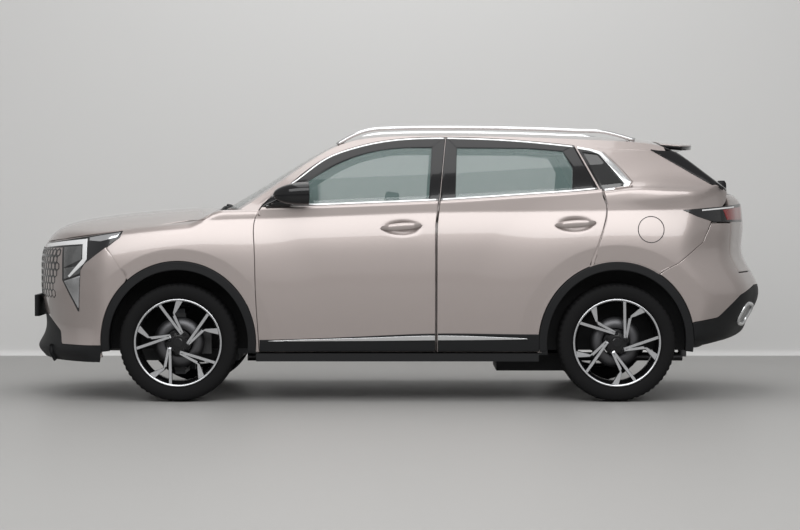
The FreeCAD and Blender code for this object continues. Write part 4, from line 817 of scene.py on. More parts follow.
def cut_side(drop, stop=None):
    """The bonnet's cut laid on the left side, a little lower, from the nose back."""
    return laid(np.stack([cut_x, cut_height(cut_x) - drop], 1)[:stop])


FRONT_MIDDLE = np.array([-1.50, 0.0, 0.52])
LIP_HIGH, END_INSET = 0.526, 0.01
nose_front = across_nose(0.60, cut_height)
cut_x = np.linspace(nose_front[0, 0] + END_INSET, along(-0.488), 90)
bonnet_left = np.concatenate([nose_front[:1], cut_side(0.001)])
rear_y = np.linspace(bonnet_left[-1, 1], -bonnet_left[-1, 1], 50)
rear_x = rear_y * 0 + bonnet_left[-1, 0]
bonnet_back = np.stack([rear_x, rear_y, top_height(rear_x, rear_y)], 1)
bonnet_grid = patch(nose_front, bonnet_back, bonnet_left, flip(bonnet_left), 90, 90)
panels("bonnet_skin", "bonnet", paint, [from_point(bonnet_grid, FRONT_MIDDLE)], ["bonnet"],
       sides=ACROSS, gap=0.0025, depth=0.022)

bumper_side = np.concatenate([arch(FRONT_AXLE, 191, 132), at([(-0.7135, 0.475), (-0.775, 0.566),
                                                               (-0.741, 0.604), (-0.7335, 0.628)])])
bumper_left = laid(spaced(bumper_side, 120))
lip = at([(-0.785, 0.208), (-0.905, 0.208), (-0.912, 0.254), (-0.950, 0.300), (-0.966, 0.316)])
lip_left = laid(spaced(lip, 50))
bumper_low = round_end(lip_left, front_place(between(lip_left, END_INSET), LIP_HIGH))
cut_end = np.argmin(np.abs(cut_x - along(-0.733)))
bumper_high = round_end(cut_side(0.002, cut_end)[::-1], nose_front - np.array([0, 0, 0.001]))
bumper_grid = patch(bumper_low, bumper_high, bumper_left, flip(bumper_left), 90, 160)
panels("front_bumper_skin", "body", paint, [from_point(bumper_grid, FRONT_MIDDLE + [0, 0, 0.1])],
       ["front_bumper"], sides=ACROSS, gap=0.0015, depth=0.02)


# Headlamp: a black housing that runs back to a point and down to a blade, with a bent light bar
lamp_top = at([(-0.905, 0.592), (-0.85, 0.6035), (-0.7295, 0.6295)])
lamp_left = at([(-0.8560, 0.3286), (-0.905, 0.4434), (-0.905, 0.592)])
lamp_right = at([(-0.8525, 0.3286), (-0.8472, 0.482), (-0.835, 0.507), (-0.776, 0.567),
                 (-0.737, 0.604), (-0.7295, 0.6295)])
lamp_grid = patch(np.array([lamp_left[0], lamp_right[0]]), lamp_top, lamp_left, lamp_right, 90, 40)
lamp_nose = band(at([(-0.964, 0.559), (-0.905, 0.5647)]), at([(-0.964, 0.5795), (-0.905, 0.592)]),
                 8, 20)
panels("headlamp_housing", "body", lamp_dark,
       [laid(grid, proud=0.0015) for grid in (lamp_grid, lamp_nose)], ["headlamps"], gap=0.0003,
       edge=0.002, depth=0.02, slot="lamp")


def lamp_part(name, material, bands, proud):
    """Flat bright or clear parts on the lamp's face, each a band between two side-view lines."""
    grids = [laid(band(at(low), at(high), 5, 24), proud=proud) for low, high in bands]
    panels(name, "body", material, grids, [], gap=0.0, edge=0.0015, depth=0.006, slot="lamp")


lamp_part("lamp_lens", lamp_lens, [
    ([(-0.899, 0.4900), (-0.899, 0.567)], [(-0.8450, 0.522), (-0.8450, 0.574)]),
    ([(-0.899, 0.4470), (-0.899, 0.4880)], [(-0.850, 0.4700), (-0.8445, 0.5000)])], 0.0025)
lamp_part("light_bar", lamp_white, [
    ([(-0.962, 0.5635), (-0.905, 0.5725), (-0.8417, 0.5790)],
     [(-0.962, 0.5760), (-0.905, 0.5875), (-0.8280, 0.5995)]),
    ([(-0.8417, 0.5800), (-0.8417, 0.5230)], [(-0.8285, 0.5990), (-0.8290, 0.5230)]),
    ([(-0.8417, 0.5240), (-0.8865, 0.4590)],
     [(-0.8290, 0.5240), (-0.8377, 0.5070), (-0.8810, 0.4550)])], 0.0045)
lamp_part("lamp_reflector", lamp_silver, [
    ([(-0.822, 0.5930), (-0.790, 0.5900), (-0.745, 0.6060)],
     [(-0.822, 0.6040), (-0.790, 0.6120), (-0.736, 0.6240)])], 0.003)
lamp_part("lamp_blade", lamp_silver, [
    ([(-0.8555, 0.3420), (-0.8985, 0.4400)], [(-0.8540, 0.3420), (-0.8500, 0.4620)])], 0.0035)


# Grille: a honeycomb of six-sided rings pressed into the nose, with finer bars lower down
GRILLE_TOP, ROW_STEP, COLUMN_STEP = 0.902, 0.0425, 0.0500
GRILLE_HALF, NARROWS, CELL = 0.625, 0.012, 0.0282
BAR, FINER, BAR_DEEP, BAR_PROUD = 0.0090, 0.0010, 0.005, 0.0025
corner_angle = np.radians(np.arange(6) * 60 + 30)


def grille_cell(y, z, bar):
    """One ring: six corners outside and inside on the nose, and the same twelve behind them."""
    front = [front_place(y + size * np.cos(corner_angle), z + size * np.sin(corner_angle),
                         BAR_PROUD) for size in (CELL, CELL - bar)]
    places = np.concatenate(front + [ring + np.array([BAR_DEEP, 0, 0]) for ring in front])
    turns = [(i, (i + 1) % 6) for i in range(6)]
    faces = [[i, k, 6 + k, 6 + i] for i, k in turns]
    faces += [[12 + i, 12 + k, k, i] for i, k in turns]
    faces += [[6 + i, 6 + k, 18 + k, 18 + i] for i, k in turns]
    return places, faces


cells = [(row, (col + 0.5 * (row % 2)) * COLUMN_STEP) for row in range(7) for col in range(-13, 14)]
cells = [grille_cell(y, GRILLE_TOP - row * ROW_STEP, BAR - row * FINER) for row, y in cells
         if abs(y) <= GRILLE_HALF - row * NARROWS]
fitted("grille_rings", "body", joined(cells), lamp_dark, smooth=False)

# Lower front trim round the nose
CHIN_HALF, CHIN_HIGH = 0.55, 0.240
chin_side = laid(spaced(at([(-0.795, 0.142), (-0.93, 0.142)]), 30))
chin = round_end(chin_side, front_place(np.linspace(-CHIN_HALF, CHIN_HALF, 40), CHIN_HIGH))
trim_end = laid(spaced(at([(-0.795, 0.142), (-0.785, 0.208)]), 12))
trim_grid = patch(chin, bumper_low, trim_end, flip(trim_end), 30, 140)
panels("front_trim_skin", "body", black_plastic,
       [from_point(trim_grid, FRONT_MIDDLE - [0, 0, 0.12], 0.001)], ["front_lower_trim"],
       sides=ACROSS, gap=0.001, depth=0.02, slot="black_plastic")

# Arch trims
arch_grids = []
for x in (FRONT_AXLE, REAR_AXLE):
    grid = band(arch(x, 187, -7, 0.424, 0.443), arch(x, 187, -7, 0.473, 0.495), 8, 110)
    y = side_half(grid[..., 0], grid[..., 1]) + 0.007
    arch_grids.append(np.stack([grid[..., 0], -y, grid[..., 1]], -1))
panels("arch_trim", "body", black_plastic, arch_grids, ["wheel_arch_trims"], gap=0.0, edge=0.005,
       depth=0.045, slot="black_plastic")

# Door cladding with a bright strip that swells towards the gap between the doors
clad_top = curve([(-0.85, 0.376), (-0.60, 0.382), (-0.20, 0.398), (0.23, 0.415), (0.60, 0.413),
                  (0.95, 0.409)])
strip_top = curve([(-0.80, 0.372), (-0.45, 0.382), (-0.10, 0.393), (0.23, 0.403), (0.50, 0.398),
                   (0.80, 0.386)])
strip_low = curve([(-0.80, 0.368), (-0.10, 0.371), (0.23, 0.374), (0.50, 0.376), (0.80, 0.381)])


def clad_side(chart, proud):
    """Side-view places on the doors' side, straight out from it."""
    return np.stack([chart[..., 0], -(side_half(chart[..., 0], chart[..., 1]) + proud),
                     chart[..., 1]], -1)


for end, start, stop in (("front", -0.369, 0.096), ("rear", 0.103, 0.372)):
    x = along(np.linspace(start, stop, 60))
    clad = band(np.stack([x, x * 0 + 0.304], 1), np.stack([x, clad_top(x)], 1), 10, 60)
    panels(end + "_door_cladding", end + "_door_SIDE", black_plastic, [clad_side(clad, 0.005)],
           [], gap=0.0, edge=0.004, depth=0.012, slot="black_plastic")
    x = along(np.linspace(max(start, -0.345), min(stop, 0.340), 60))
    line = band(np.stack([x, strip_low(x)], 1), np.stack([x, strip_top(x)], 1), 6, 60)
    panels(end + "_cladding_strip", end + "_door_SIDE", chrome, [clad_side(line, 0.011)], [],
           gap=0.0, edge=0.0015, depth=0.008, slot="silver")

# Rear bumper: rows up to a ledge beside the tailgate, then a corner that turns in to its edge
GATE_HALF, LEDGE_HIGH, CORNER_HIGH = 0.63, 0.777, 1.087
REAR_MIDDLE = np.array([1.50, 0.0, 0.70])
LOWER_ROWS, LOWER_COLUMNS, CORNER_ROWS = 50, 200, 40
rear_arch = arch(REAR_AXLE, 14.0, 57.0)
rear_low_line = np.concatenate([rear_arch[:1], at([(0.850, 0.307), (0.915, 0.387),
                                                   (0.968, 0.420)])])
quarter_seam = at([(0.698, 0.480), (0.739, 0.510), (0.808, 0.587), (0.832, 0.657)])


def tail_place(y, z, proud=0.0):
    """Rear-view places laid on the tail."""
    return np.stack(np.broadcast_arrays(tail_room(0.0, y, z) / END_SLOPE + proud, y, z), -1)


low_left = laid(spaced(rear_low_line, LOWER_ROWS))
rear_low = round_end(low_left, tail_place(between(low_left, END_INSET), low_left[-1, 2]))
side_rear = laid(rear_arch)
reach = np.arctan2(-side_rear[-1, 1], rear_arch[-1, 0] - REAR_MIDDLE[0])
bearing = np.linspace(-reach, reach, 400)
ledge_from = np.array([REAR_MIDDLE[0], 0.0, LEDGE_HIGH])
ledge_ray = np.stack([np.cos(bearing), np.sin(bearing), bearing * 0], 1)
ledge = spaced(from_point(ledge_from + ledge_ray, ledge_from), LOWER_COLUMNS)
lower_rows = patch(rear_low, ledge, side_rear, flip(side_rear), LOWER_ROWS, LOWER_COLUMNS)
turn_col = int(np.argmax(ledge[:, 1] > -GATE_HALF))
corner_x = along(np.linspace(0.832, 0.93, 30))
corner = laid(np.stack([corner_x, corner_x * 0 + 0.657 * TALL], 1))
corner = corner[corner[:, 1] < -GATE_HALF - END_INSET]
corner = np.concatenate([corner, tail_place(np.array([-GATE_HALF]), np.array([CORNER_HIGH]))])
drop = spaced([[ledge[turn_col, 1], LEDGE_HIGH], [-GATE_HALF, CORNER_HIGH]], CORNER_ROWS)
seam = laid(spaced(np.concatenate([rear_arch[-1:], quarter_seam]), CORNER_ROWS))
corner_rows = patch(ledge[:turn_col + 1], corner, seam, tail_place(drop[:, 0], drop[:, 1]),
                    CORNER_ROWS, turn_col + 1)
lower_plain = np.zeros((LOWER_ROWS, LOWER_COLUMNS), bool)
lower_plain[-1, :turn_col + 1] = lower_plain[-1, LOWER_COLUMNS - 1 - turn_col:] = True
corner_plain = np.zeros((CORNER_ROWS, turn_col + 1), bool)
corner_plain[0] = True
lower, left_corner = [panel_shape(from_point(rows, REAR_MIDDLE), 0.0015, 0.004, 0.02, plain)
                      for rows, plain in ((lower_rows, lower_plain), (corner_rows, corner_plain))]
fitted("rear_bumper_skin", "body", joined([lower, left_corner, mirrored(left_corner)]), paint,
       ["rear_bumper"])

# Black lower trim of the tail
rear_foot = arch(REAR_AXLE, -4.5, 14.0)
chin_side = laid(spaced(np.concatenate([rear_foot[:1], at([(0.86, 0.205)])]), 40))
chin_y = np.linspace(chin_side[-1, 1] + 0.02, -chin_side[-1, 1] - 0.02, 50)
foot_side = laid(spaced(rear_foot, 12))
rear_trim = patch(round_end(chin_side, tail_place(chin_y, 0.345)), rear_low, foot_side,
                  flip(foot_side), 30, 140)
panels("rear_trim_skin", "body", black_plastic, [from_point(rear_trim, REAR_MIDDLE - [0, 0, 0.25])],
       ["rear_lower_trim"], sides=ACROSS, gap=0.001, depth=0.02, slot="black_plastic")

# Bright frames of the outlets: a rounded oblong, lower towards the middle, round a black mouth
OUTLET_Y, OUTLET_Z, OUTLET_WIDE, OUTLET_HIGH, OUTLET_SLANT = -0.515, 0.520, 0.100, 0.062, 0.105
angle = np.linspace(0, ROUND, 61)
oblong = np.stack([soft(np.cos(angle), 0.6) * OUTLET_WIDE, soft(np.sin(angle), 0.6) * OUTLET_HIGH], 1)
oblong[:, 1] -= OUTLET_SLANT * oblong[:, 0]
bead = np.stack([np.cos(angle[::6]) * 0.013, np.sin(angle[::6]) * 0.012], 1)[:-1]
mouth_chart = 0.9 * band(np.zeros((2, 2)), oblong, 6, 61)
for side, sign in SIDES:
    path = tail_place((OUTLET_Y + oblong[:, 0]) * sign, OUTLET_Z + oblong[:, 1], 0.003)
    rim = sweep_shape(path, bead, up=(1.0, 0.0, 0.0), closed=True)
    mouth = tail_place((OUTLET_Y + mouth_chart[..., 0]) * sign, OUTLET_Z + mouth_chart[..., 1], 0.002)
    mouth = mouth.reshape(-1, 3), grid_faces(6, 61)
    kinds = [0] * len(rim[1]) + [1] * len(mouth[1])
    piece = mesh_piece("outlet_frame_" + side, *joined([rim, mouth]), [chrome, black_gloss], kinds)
    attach(piece, "body")

# Tailgate: the lower panel, the glass and its black fins, the wing over it
GATE_INSIDE, GLASS_TALL = np.array([1.3, 0.0, 0.0]), 40
GLASS_SWEEP, END_SWEEP, GATE_END = 0.6, 0.7, 2.150
SILL_FROM, SILL_TO, SILL_HIGH = 2.060, 2.130, 1.264
FIN_LEAST, FIN_OPENS = 0.003, 0.16
WING_HALF, WING_FROM, WING_TO, WING_ROUND = 0.615, along(0.7045), along(0.806), 0.11
gate_y, gate_z = np.meshgrid(np.linspace(-GATE_HALF + 0.004, GATE_HALF - 0.004, 60),
                             np.linspace(0.782, 1.262, 60))
lower_gate = tail_place(gate_y, gate_z)
lower_gate = outward(lower_gate, lower_gate * [0.0, 1.0, 1.0] + GATE_INSIDE, body_depth)
glass_share = np.linspace(0, 1, GLASS_TALL)[:, None]
gate_x = along(np.linspace(0.742, 0.893, GLASS_TALL)[:, None])
half_glass = 0.60 - 0.02 * glass_share - 0.10 * np.maximum(glass_share - 0.8, 0)
glass_y = np.linspace(-1, 1, 50)[None] * half_glass
glass_x = gate_x - GLASS_SWEEP * tail_sweep(glass_y) * glass_share
panels("back_glass", "tailgate", dark_glass, [on_roof(glass_x, glass_y, -GLASS_IN)],
       ["rear_window"], sides=ACROSS, gap=0.0, edge=0.001, depth=0.004, slot="dark_glass")


def gate_depth(p):
    """Inside the greenhouse as far as the swept end of the tail."""
    x, y, z = p[..., 0], p[..., 1], p[..., 2]
    end_room = (GATE_END - END_SWEEP * tail_sweep(y) - x) * END_SLOPE
    return least([house_half(x, z) - np.abs(y), house_top(x, y) - z, end_room], 0.010)


fin_x = np.linspace(fin_low[0, 0], fin_low[-1, 0], 70)
fin_base = np.interp(fin_x, fin_low[:, 0], fin_low[:, 1])
fin_share = np.linspace(0, 1, 14)[:, None]
fin_peak = house_top(fin_x, 0.60) - 0.002
fin_open = np.clip((fin_x - fin_x[0]) / FIN_OPENS, 0, 1) ** 0.8
fin_tall = FIN_LEAST + fin_open * np.maximum(fin_peak - fin_base - FIN_LEAST, 0)
fin_chart = np.stack([fin_x + 0 * fin_share, fin_base + fin_tall * fin_share], -1)
panels("gate_fin", "tailgate", black_gloss, [laid(fin_chart, gate_depth, 0.006)], [], gap=0.001,
       edge=0.002, depth=0.012, slot="black_gloss")
frame_x = along(np.linspace(0.706, 0.868, 50))
side_y = house_half(frame_x, house_top(frame_x, 0.6)) - 0.002
inner_y = np.interp(frame_x, gate_x[:, 0], half_glass[:, 0])
side_frame = np.stack([on_roof(frame_x, -(inner_y + (side_y - inner_y) * t))
                       for t in np.linspace(0, 1, 10)])
panels("gate_side_frame", "tailgate", black_gloss, [side_frame], [], gap=0.001, edge=0.002,
       depth=0.02, slot="black_gloss")
sill_share = np.linspace(0, 1, 12)[:, None]
sill_y = np.linspace(-GATE_HALF, GATE_HALF, 50)[None]
sill_x = ((SILL_FROM - GLASS_SWEEP * tail_sweep(sill_y)) * (1 - sill_share)
          + (SILL_TO - END_SWEEP * tail_sweep(sill_y)) * sill_share)
sill_z = house_top(sill_x, sill_y) * (1 - sill_share) + SILL_HIGH * sill_share - 0.002
panels("gate_sill", "tailgate", black_gloss,
       [np.stack(np.broadcast_arrays(sill_x, sill_y, sill_z), -1)], [], sides=ACROSS, gap=0.0,
       edge=0.002, depth=0.02, slot="black_gloss")
panels("tailgate_skin", "tailgate", paint, [lower_gate], ["tailgate"], sides=ACROSS, gap=0.002,
       depth=0.03)
wing_line = curve(at([(0.55, 0.985), (0.652, 0.976), (0.700, 0.970), (0.760, 0.963),
                      (0.83, 0.953)]))
wing_share = np.linspace(0, 1, 30)[:, None]
wing_y = np.linspace(-WING_HALF, WING_HALF, 60)[None]
wing_end = WING_TO - WING_ROUND * (wing_y / WING_HALF) ** 4
wing_x = WING_FROM + (wing_end - WING_FROM) * wing_share
wing_z = wing_line(wing_x) - ROOF_CROWN * wing_y ** 2 / WIDE - 0.001
wing = np.stack(np.broadcast_arrays(wing_x, wing_y, wing_z), -1)
panels("roof_wing", "tailgate", paint, [wing], [], sides=ACROSS, gap=0.0, edge=0.004, depth=0.008)
panels("wing_under", "tailgate", black_gloss, [wing - np.array([0.0, 0.0, 0.0085])], [],
       sides=ACROSS, gap=0.0, edge=0.002, depth=0.022, slot="black_gloss")


def tapered(low_half, high_half, low, high):
    """A bar's section, narrower on top."""
    return [[-low_half, low], [low_half, low], [high_half, high], [-high_half, high]]


# Rear wiper: its boss stands on the glass, its arm lies along it
BOSS_AT = 2.085
wiper_y = np.linspace(0.0, 0.30, 16)
wiper = on_roof(2.075 - 0.05 * wiper_y, wiper_y, 0.016)
boss = np.array([[BOSS_AT + half * i, half * j, z]
                 for z, half in ((1.27, 0.030), (1.335, 0.028), (1.352, 0.018))
                 for i, j in ((-1, -1), (1, -1), (1, 1), (-1, 1))])
boss_faces = grid_faces(3, 4, wrap=True).tolist() + [[8, 9, 10, 11]]
fitted("rear_wiper", "tailgate",
       joined([(boss, boss_faces), sweep_shape(wiper, tapered(0.007, 0.005, -0.006, 0.006))]),
       black_plastic)

# Tail lamps: each part a band between two side-view lines on the shoulder
tail_parts = (
    ("tail_lamp_housing", lamp_dark, [(0.752, 0.7045), (0.79, 0.681), (0.838, 0.660), (0.94, 0.6585)],
     [(0.752, 0.7065), (0.85, 0.717), (0.935, 0.7285)], (14, 60), 0.005, ["tail_lamps"], "lamp"),
    ("tail_white_bar", lamp_white, [(0.805, 0.7015), (0.905, 0.7125)],
     [(0.805, 0.7065), (0.905, 0.7185)], (4, 30), 0.009, [], "lamp"),
    ("tail_red", lamp_red, [(0.880, 0.668), (0.936, 0.668)], [(0.868, 0.706), (0.936, 0.716)],
     (8, 20), 0.008, [], "red_lamp"))
for name, material, low, high, cells, proud, replaced, slot in tail_parts:
    grid = laid(band(at(low), at(high), *cells), quarter_depth, proud)
    housing = name == "tail_lamp_housing"
    panels(name, "body", material, [grid], replaced, gap=0.001 if housing else 0.0, edge=0.002,
           depth=0.02 if housing else 0.005, slot=slot)


# Mirrors, handles, rails and flaps
def mirror_shell():
    """A case whose squarish section swells back from a point, on a slanted foot."""
    front, out, high = -0.752, -0.962, 1.268
    deep, half_wide, half_tall, square = 0.214, 0.086, 0.070, 0.72
    count, turns = 44, 40
    full_at, rear_face = 0.93, 0.985
    t = np.linspace(0, 1, count)[:, None]
    a = np.linspace(0, ROUND, turns, endpoint=False)[None]
    swell = np.sqrt(1 - (1 - np.minimum(t / full_at, 1)) ** 2.2) * np.where(t > rear_face, 0.90, 1)
    swell = np.where(t >= 1, 0.0, swell)
    tall, wide = soft(np.sin(a), square) * swell, soft(np.cos(a), square) * swell
    x = front + deep * np.minimum(t / rear_face, 1) - 0.012 * wide
    z = high + half_tall * tall - 0.008 * (1 - t)
    places = np.stack([x, out + half_wide * wide, z], -1).reshape(-1, 3)
    foot = [[x, y, z] for z, front, back, inner, outer in (
        (1.188, -0.80, -0.66, -0.86, -0.905), (1.225, -0.715, -0.600, -0.875, -0.930))
        for x, y in ((front, inner), (back, inner), (back, outer), (front, outer))]
    foot_faces = [[0, 3, 2, 1], [4, 5, 6, 7], [0, 1, 5, 4], [1, 2, 6, 5], [2, 3, 7, 6],
                  [3, 0, 4, 7]]
    return joined([(places, grid_faces(count, turns, wrap=True)), (foot, foot_faces)])


def door_handle(start, low, rise):
    """A leaf-shaped grip that bows out from the door between its two ends."""
    rows, turns = 30, 28
    long, stand_off, tip, half_tall, flat = 0.255, 0.030, 0.004, 0.0185, 0.42
    line = np.linspace(0, 1, rows)
    angle = np.linspace(0, ROUND, turns + 1)[:-1]
    height = low + rise * line
    reach = start + line * long
    bow = tip + stand_off * np.minimum(1, np.minimum(line, 1 - line) * 5) ** 0.7
    grip = np.stack([reach, -(side_half(reach, height) + bow), height], 1)
    size = tip + half_tall * np.sin(line * math.pi) ** 0.55
    ring = np.stack([angle * 0, np.cos(angle) * flat, np.sin(angle)], -1)
    cells = grid_faces(rows, turns, wrap=True).tolist()
    cells += [list(range(turns)), list(range((rows - 1) * turns, rows * turns))[::-1]]
    return (grip[:, None] + size[:, None, None] * ring[None]).reshape(-1, 3), cells


def roof_rail(start=-0.375, end=1.468, out=0.590, ramp=0.16):
    """A rounded bar over the roof that comes down to it at both ends."""
    x = np.concatenate([[start], np.linspace(-0.30, 1.40, 40), [end]])
    rise = ease(0, ramp, x - start) * ease(0, ramp, end - x)
    path = on_roof(x, -out, 0.006 + 0.040 * rise)
    path = rounded(path[[0] + list(range(1, 42, 3)) + [41]], 90)
    angle = np.linspace(0, ROUND, 29)[:-1]
    return sweep_shape(path, np.stack([np.cos(angle) * 0.016, np.sin(angle) * 0.012], 1))


handles = (("front", door_handle(-0.104, 1.058, 0.018)),
           ("rear", door_handle(0.953, 1.076, 0.016)))
for side in SIDES:
    fitted("mirror_shell", "front_door_SIDE", mirror_shell(), black_gloss,
           ["mirror_SIDE"], [side])
    for end, handle in handles:
        fitted(end + "_door_handle", end + "_door_SIDE", handle, paint, sides=[side])
    fitted("roof_rail", "body", roof_rail(), chrome,
           ["roof_rails"] if side == SIDES[0] else [], [side])

FLAP_AT, FLAP_HALF, SEAM_HALF = (1.539, 1.049), 0.079, 0.0028
flap_angle = np.linspace(0, ROUND, 65)
flap = np.stack([FLAP_AT[0] + FLAP_HALF * np.cos(flap_angle),
                 FLAP_AT[1] + FLAP_HALF * np.sin(flap_angle)], 1)
seam_angle = np.linspace(0, ROUND, 8)[:-1]
seam_ring = np.stack([np.cos(seam_angle), np.sin(seam_angle)], 1) * SEAM_HALF
seam = sweep_shape(laid(flap, quarter_depth, 0.0015)[::-1], seam_ring, up=(0, -1, 0.1), closed=True)
fitted("fuel_flap_seam", "body", mirrored(seam), lamp_dark)
fitted("charge_flap_seam", "body", seam, lamp_dark)


# Wheels
def spoke_ring(outline, high, low, turn):
    """A flat-faced arm with bevelled edges, from its outline in rim radii, turned into place."""
    outline = np.asarray(outline, float)
    middle = outline.mean(0)
    c, s = math.cos(turn), math.sin(turn)
    layers = []
    for shrink, level in ((1.0, low), (1.0, high - 0.004), (0.93, high)):
        flat = middle + (outline - middle) * shrink
        x, z = flat[:, 0] * 0.268, -flat[:, 1] * 0.268
        x, z = x * c + z * s, z * c - x * s
        layers.append(np.stack([x, np.full(len(x), -level), z], 1))
    vertices = np.concatenate(layers)
    count = len(outline)
    faces = grid_faces(3, count, wrap=True).tolist()
    faces.append(list(range(2 * count, 3 * count)))
    return vertices, faces


def tyre_shape(count=180):
    """A turned tyre with four grooves round it and cross cuts in its tread."""
    half = [(-0.092, 0.262), (-0.094, 0.270), (-0.104, 0.276), (-0.110, 0.290), (-0.1125, 0.312),
            (-0.111, 0.328), (-0.107, 0.341), (-0.098, 0.3525), (-0.084, 0.3565),
            (-0.064, 0.3585), (-0.061, 0.352), (-0.055, 0.352), (-0.052, 0.3592),
            (-0.026, 0.3598), (-0.023, 0.352), (-0.017, 0.352), (-0.014, 0.360)]
    profile = half + [(0.0, 0.360)] + [(-y, radius) for y, radius in half[::-1]]
    vertices, faces = turned_shape(profile, count)
    places = vertices.reshape(len(profile), count, 3)
    cut_rows = np.isin(np.arange(len(profile)), [7, 8, 9, 12, 21, 25, 26, 27])
    cut = (np.arange(count) % 3 == 0)[None, :] & cut_rows[:, None]
    places = np.where(cut[..., None], places * np.array([0.983, 1.0, 0.983]), places)
    return places.reshape(-1, 3), faces


def wheel_pieces(end, side, sign, phase):
    """Tyre, rim, spokes, nuts and disc of one wheel, with its outside towards -Y on the left."""
    centre = np.array([FRONT_AXLE if end == "front" else REAR_AXLE, -0.800, AXLE_HIGH])
    name = end + "_" + side
    body = "wheel_" + name
    shapes = {"tyre": [tyre_shape()]}
    barrel = [(-0.1025, 0.262), (-0.1025, 0.268), (-0.094, 0.268), (-0.090, 0.262),
              (-0.080, 0.252), (-0.070, 0.246), (0.070, 0.246), (0.095, 0.262), (0.1025, 0.268),
              (0.1025, 0.250), (0.060, 0.238), (-0.060, 0.240), (-0.085, 0.252), (-0.097, 0.256),
              (-0.1025, 0.262)]
    shapes["barrel"] = [turned_shape(barrel, 120)]
    shapes["ring"] = [turned_shape([(-0.098, 0.2545), (-0.1035, 0.2585), (-0.1045, 0.264),
                                    (-0.102, 0.2685), (-0.098, 0.2685)], 120)]
    arms, faces_on = [], []
    straight = [(-0.218, 0.10), (-0.150, 0.10), (-0.138, 0.55), (-0.130, 0.972), (-0.208, 0.960),
                (-0.214, 0.55)]
    bent_in = [(-0.232, 0.085), (-0.180, 0.135), (-0.262, 0.560), (-0.345, 0.585)]
    bent_out = [(-0.345, 0.580), (-0.262, 0.545), (-0.290, 0.615), (-0.560, 0.810),
                (-0.690, 0.702), (-0.375, 0.585)]
    foot = [(-0.25, 0.03), (-0.09, 0.03), (-0.125, 0.20), (-0.25, 0.20)]
    for k in range(5):
        turn = math.radians(72 * k + phase)
        for outline in (straight, bent_in, bent_out):
            arms.append(spoke_ring(outline, 0.092, 0.062, turn))
            slim = np.asarray(outline)
            slim = slim.mean(0) + (slim - slim.mean(0)) * np.array([0.86, 0.985])
            faces_on.append(spoke_ring(slim, 0.0945, 0.091, turn))
        arms.append(spoke_ring(foot, 0.084, 0.060, turn))
    hub = [(-0.060, 0.012), (-0.086, 0.012), (-0.086, 0.040), (-0.082, 0.060), (-0.070, 0.078),
           (-0.050, 0.080), (0.02, 0.080), (0.02, 0.034)]
    arms.append(turned_shape(hub, 72))
    nuts = []
    for k in range(5):
        a = math.radians(72 * k + 20)
        spot = np.array([0.054 * math.cos(a), 0.0, 0.054 * math.sin(a)])
        nut = turned_shape([(-0.089, 0.0), (-0.089, 0.007), (-0.086, 0.010), (-0.078, 0.010)], 6)
        nuts.append((nut[0] + spot, nut[1]))
    cap = [(-0.0895, 0.0), (-0.0895, 0.024), (-0.087, 0.029), (-0.08, 0.030)]
    disc = [(-0.024, 0.085), (-0.026, 0.090), (-0.026, 0.155), (-0.004, 0.155), (-0.004, 0.085)]
    shapes["arms"] = arms
    shapes["faces"] = faces_on
    shapes["nuts"] = nuts + [turned_shape(cap, 48)]
    shapes["disc"] = [turned_shape(disc, 96)]
    kinds = (("tyre", "tyre_skin", rubber, "tyre", True, ["tyre_" + name]),
             ("barrel", "rim_barrel", rim_black, "rim", True, ["rim_" + name]),
             ("ring", "rim_ring", machined, "rim", True, []),
             ("arms", "rim_arms", rim_black, "rim", False, []),
             ("faces", "rim_faces", machined, "rim", False, []),
             ("nuts", "wheel_nuts", black_gloss, "rim", False, []),
             ("disc", "brake_disc", disc_steel, "steel", True, []))
    for key, label, material, slot, smooth, replaced in kinds:
        vertices, faces = joined(shapes[key])
        fitted(label + "_" + end, body, (vertices + centre, faces), material, replaced,
               [(side, sign)], smooth)


for end, phase in (("front", 0), ("rear", 180)):
    for side, sign in SIDES:
        wheel_pieces(end, side, sign, phase)


# Seats: padded forms with rolled edges and stitched panels
def cushion(low, high, power=0.28, rows=28, cols=36, seam=0.006):
    """A padded block: a superellipsoid between two corners, with a seam pressed into its faces."""
    low, high = np.asarray(low, float), np.asarray(high, float)
    centre, half = (low + high) / 2, (high - low) / 2
    v = np.linspace(-math.pi / 2, math.pi / 2, rows)[:, None]
    u = np.linspace(0, ROUND, cols, endpoint=False)[None]
    x = soft(np.cos(v), power) * soft(np.cos(u), power)
    y = soft(np.cos(v), power) * soft(np.sin(u), power)
    z = soft(np.sin(v), power) + 0 * u
    press = 1 - seam / half.min() * np.exp(-((np.abs(y) - 0.55) / 0.05) ** 2)
    places = np.stack([x * press, y, z * press], -1)
    return (places * half + centre).reshape(-1, 3), grid_faces(rows, cols, wrap=True)


def leaned(shape, pivot, angle):
    """A shape turned back about a crosswise line."""
    vertices, faces = shape
    p = vertices - pivot
    c, s = math.cos(angle), math.sin(angle)
    turned = np.stack([p[:, 0] * c + p[:, 2] * s, p[:, 1], p[:, 2] * c - p[:, 0] * s], 1)
    return turned + pivot, faces


def seat_block(y, half, start, end, low, high, pivot=0.0, lean=0.0):
    """A cushion across a seat, leaned back about a line at the seat's height."""
    shape = cushion((start, y - half, low), (end, y + half, high))
    return leaned(shape, np.array([pivot, y, PIVOT_HIGH]), lean)


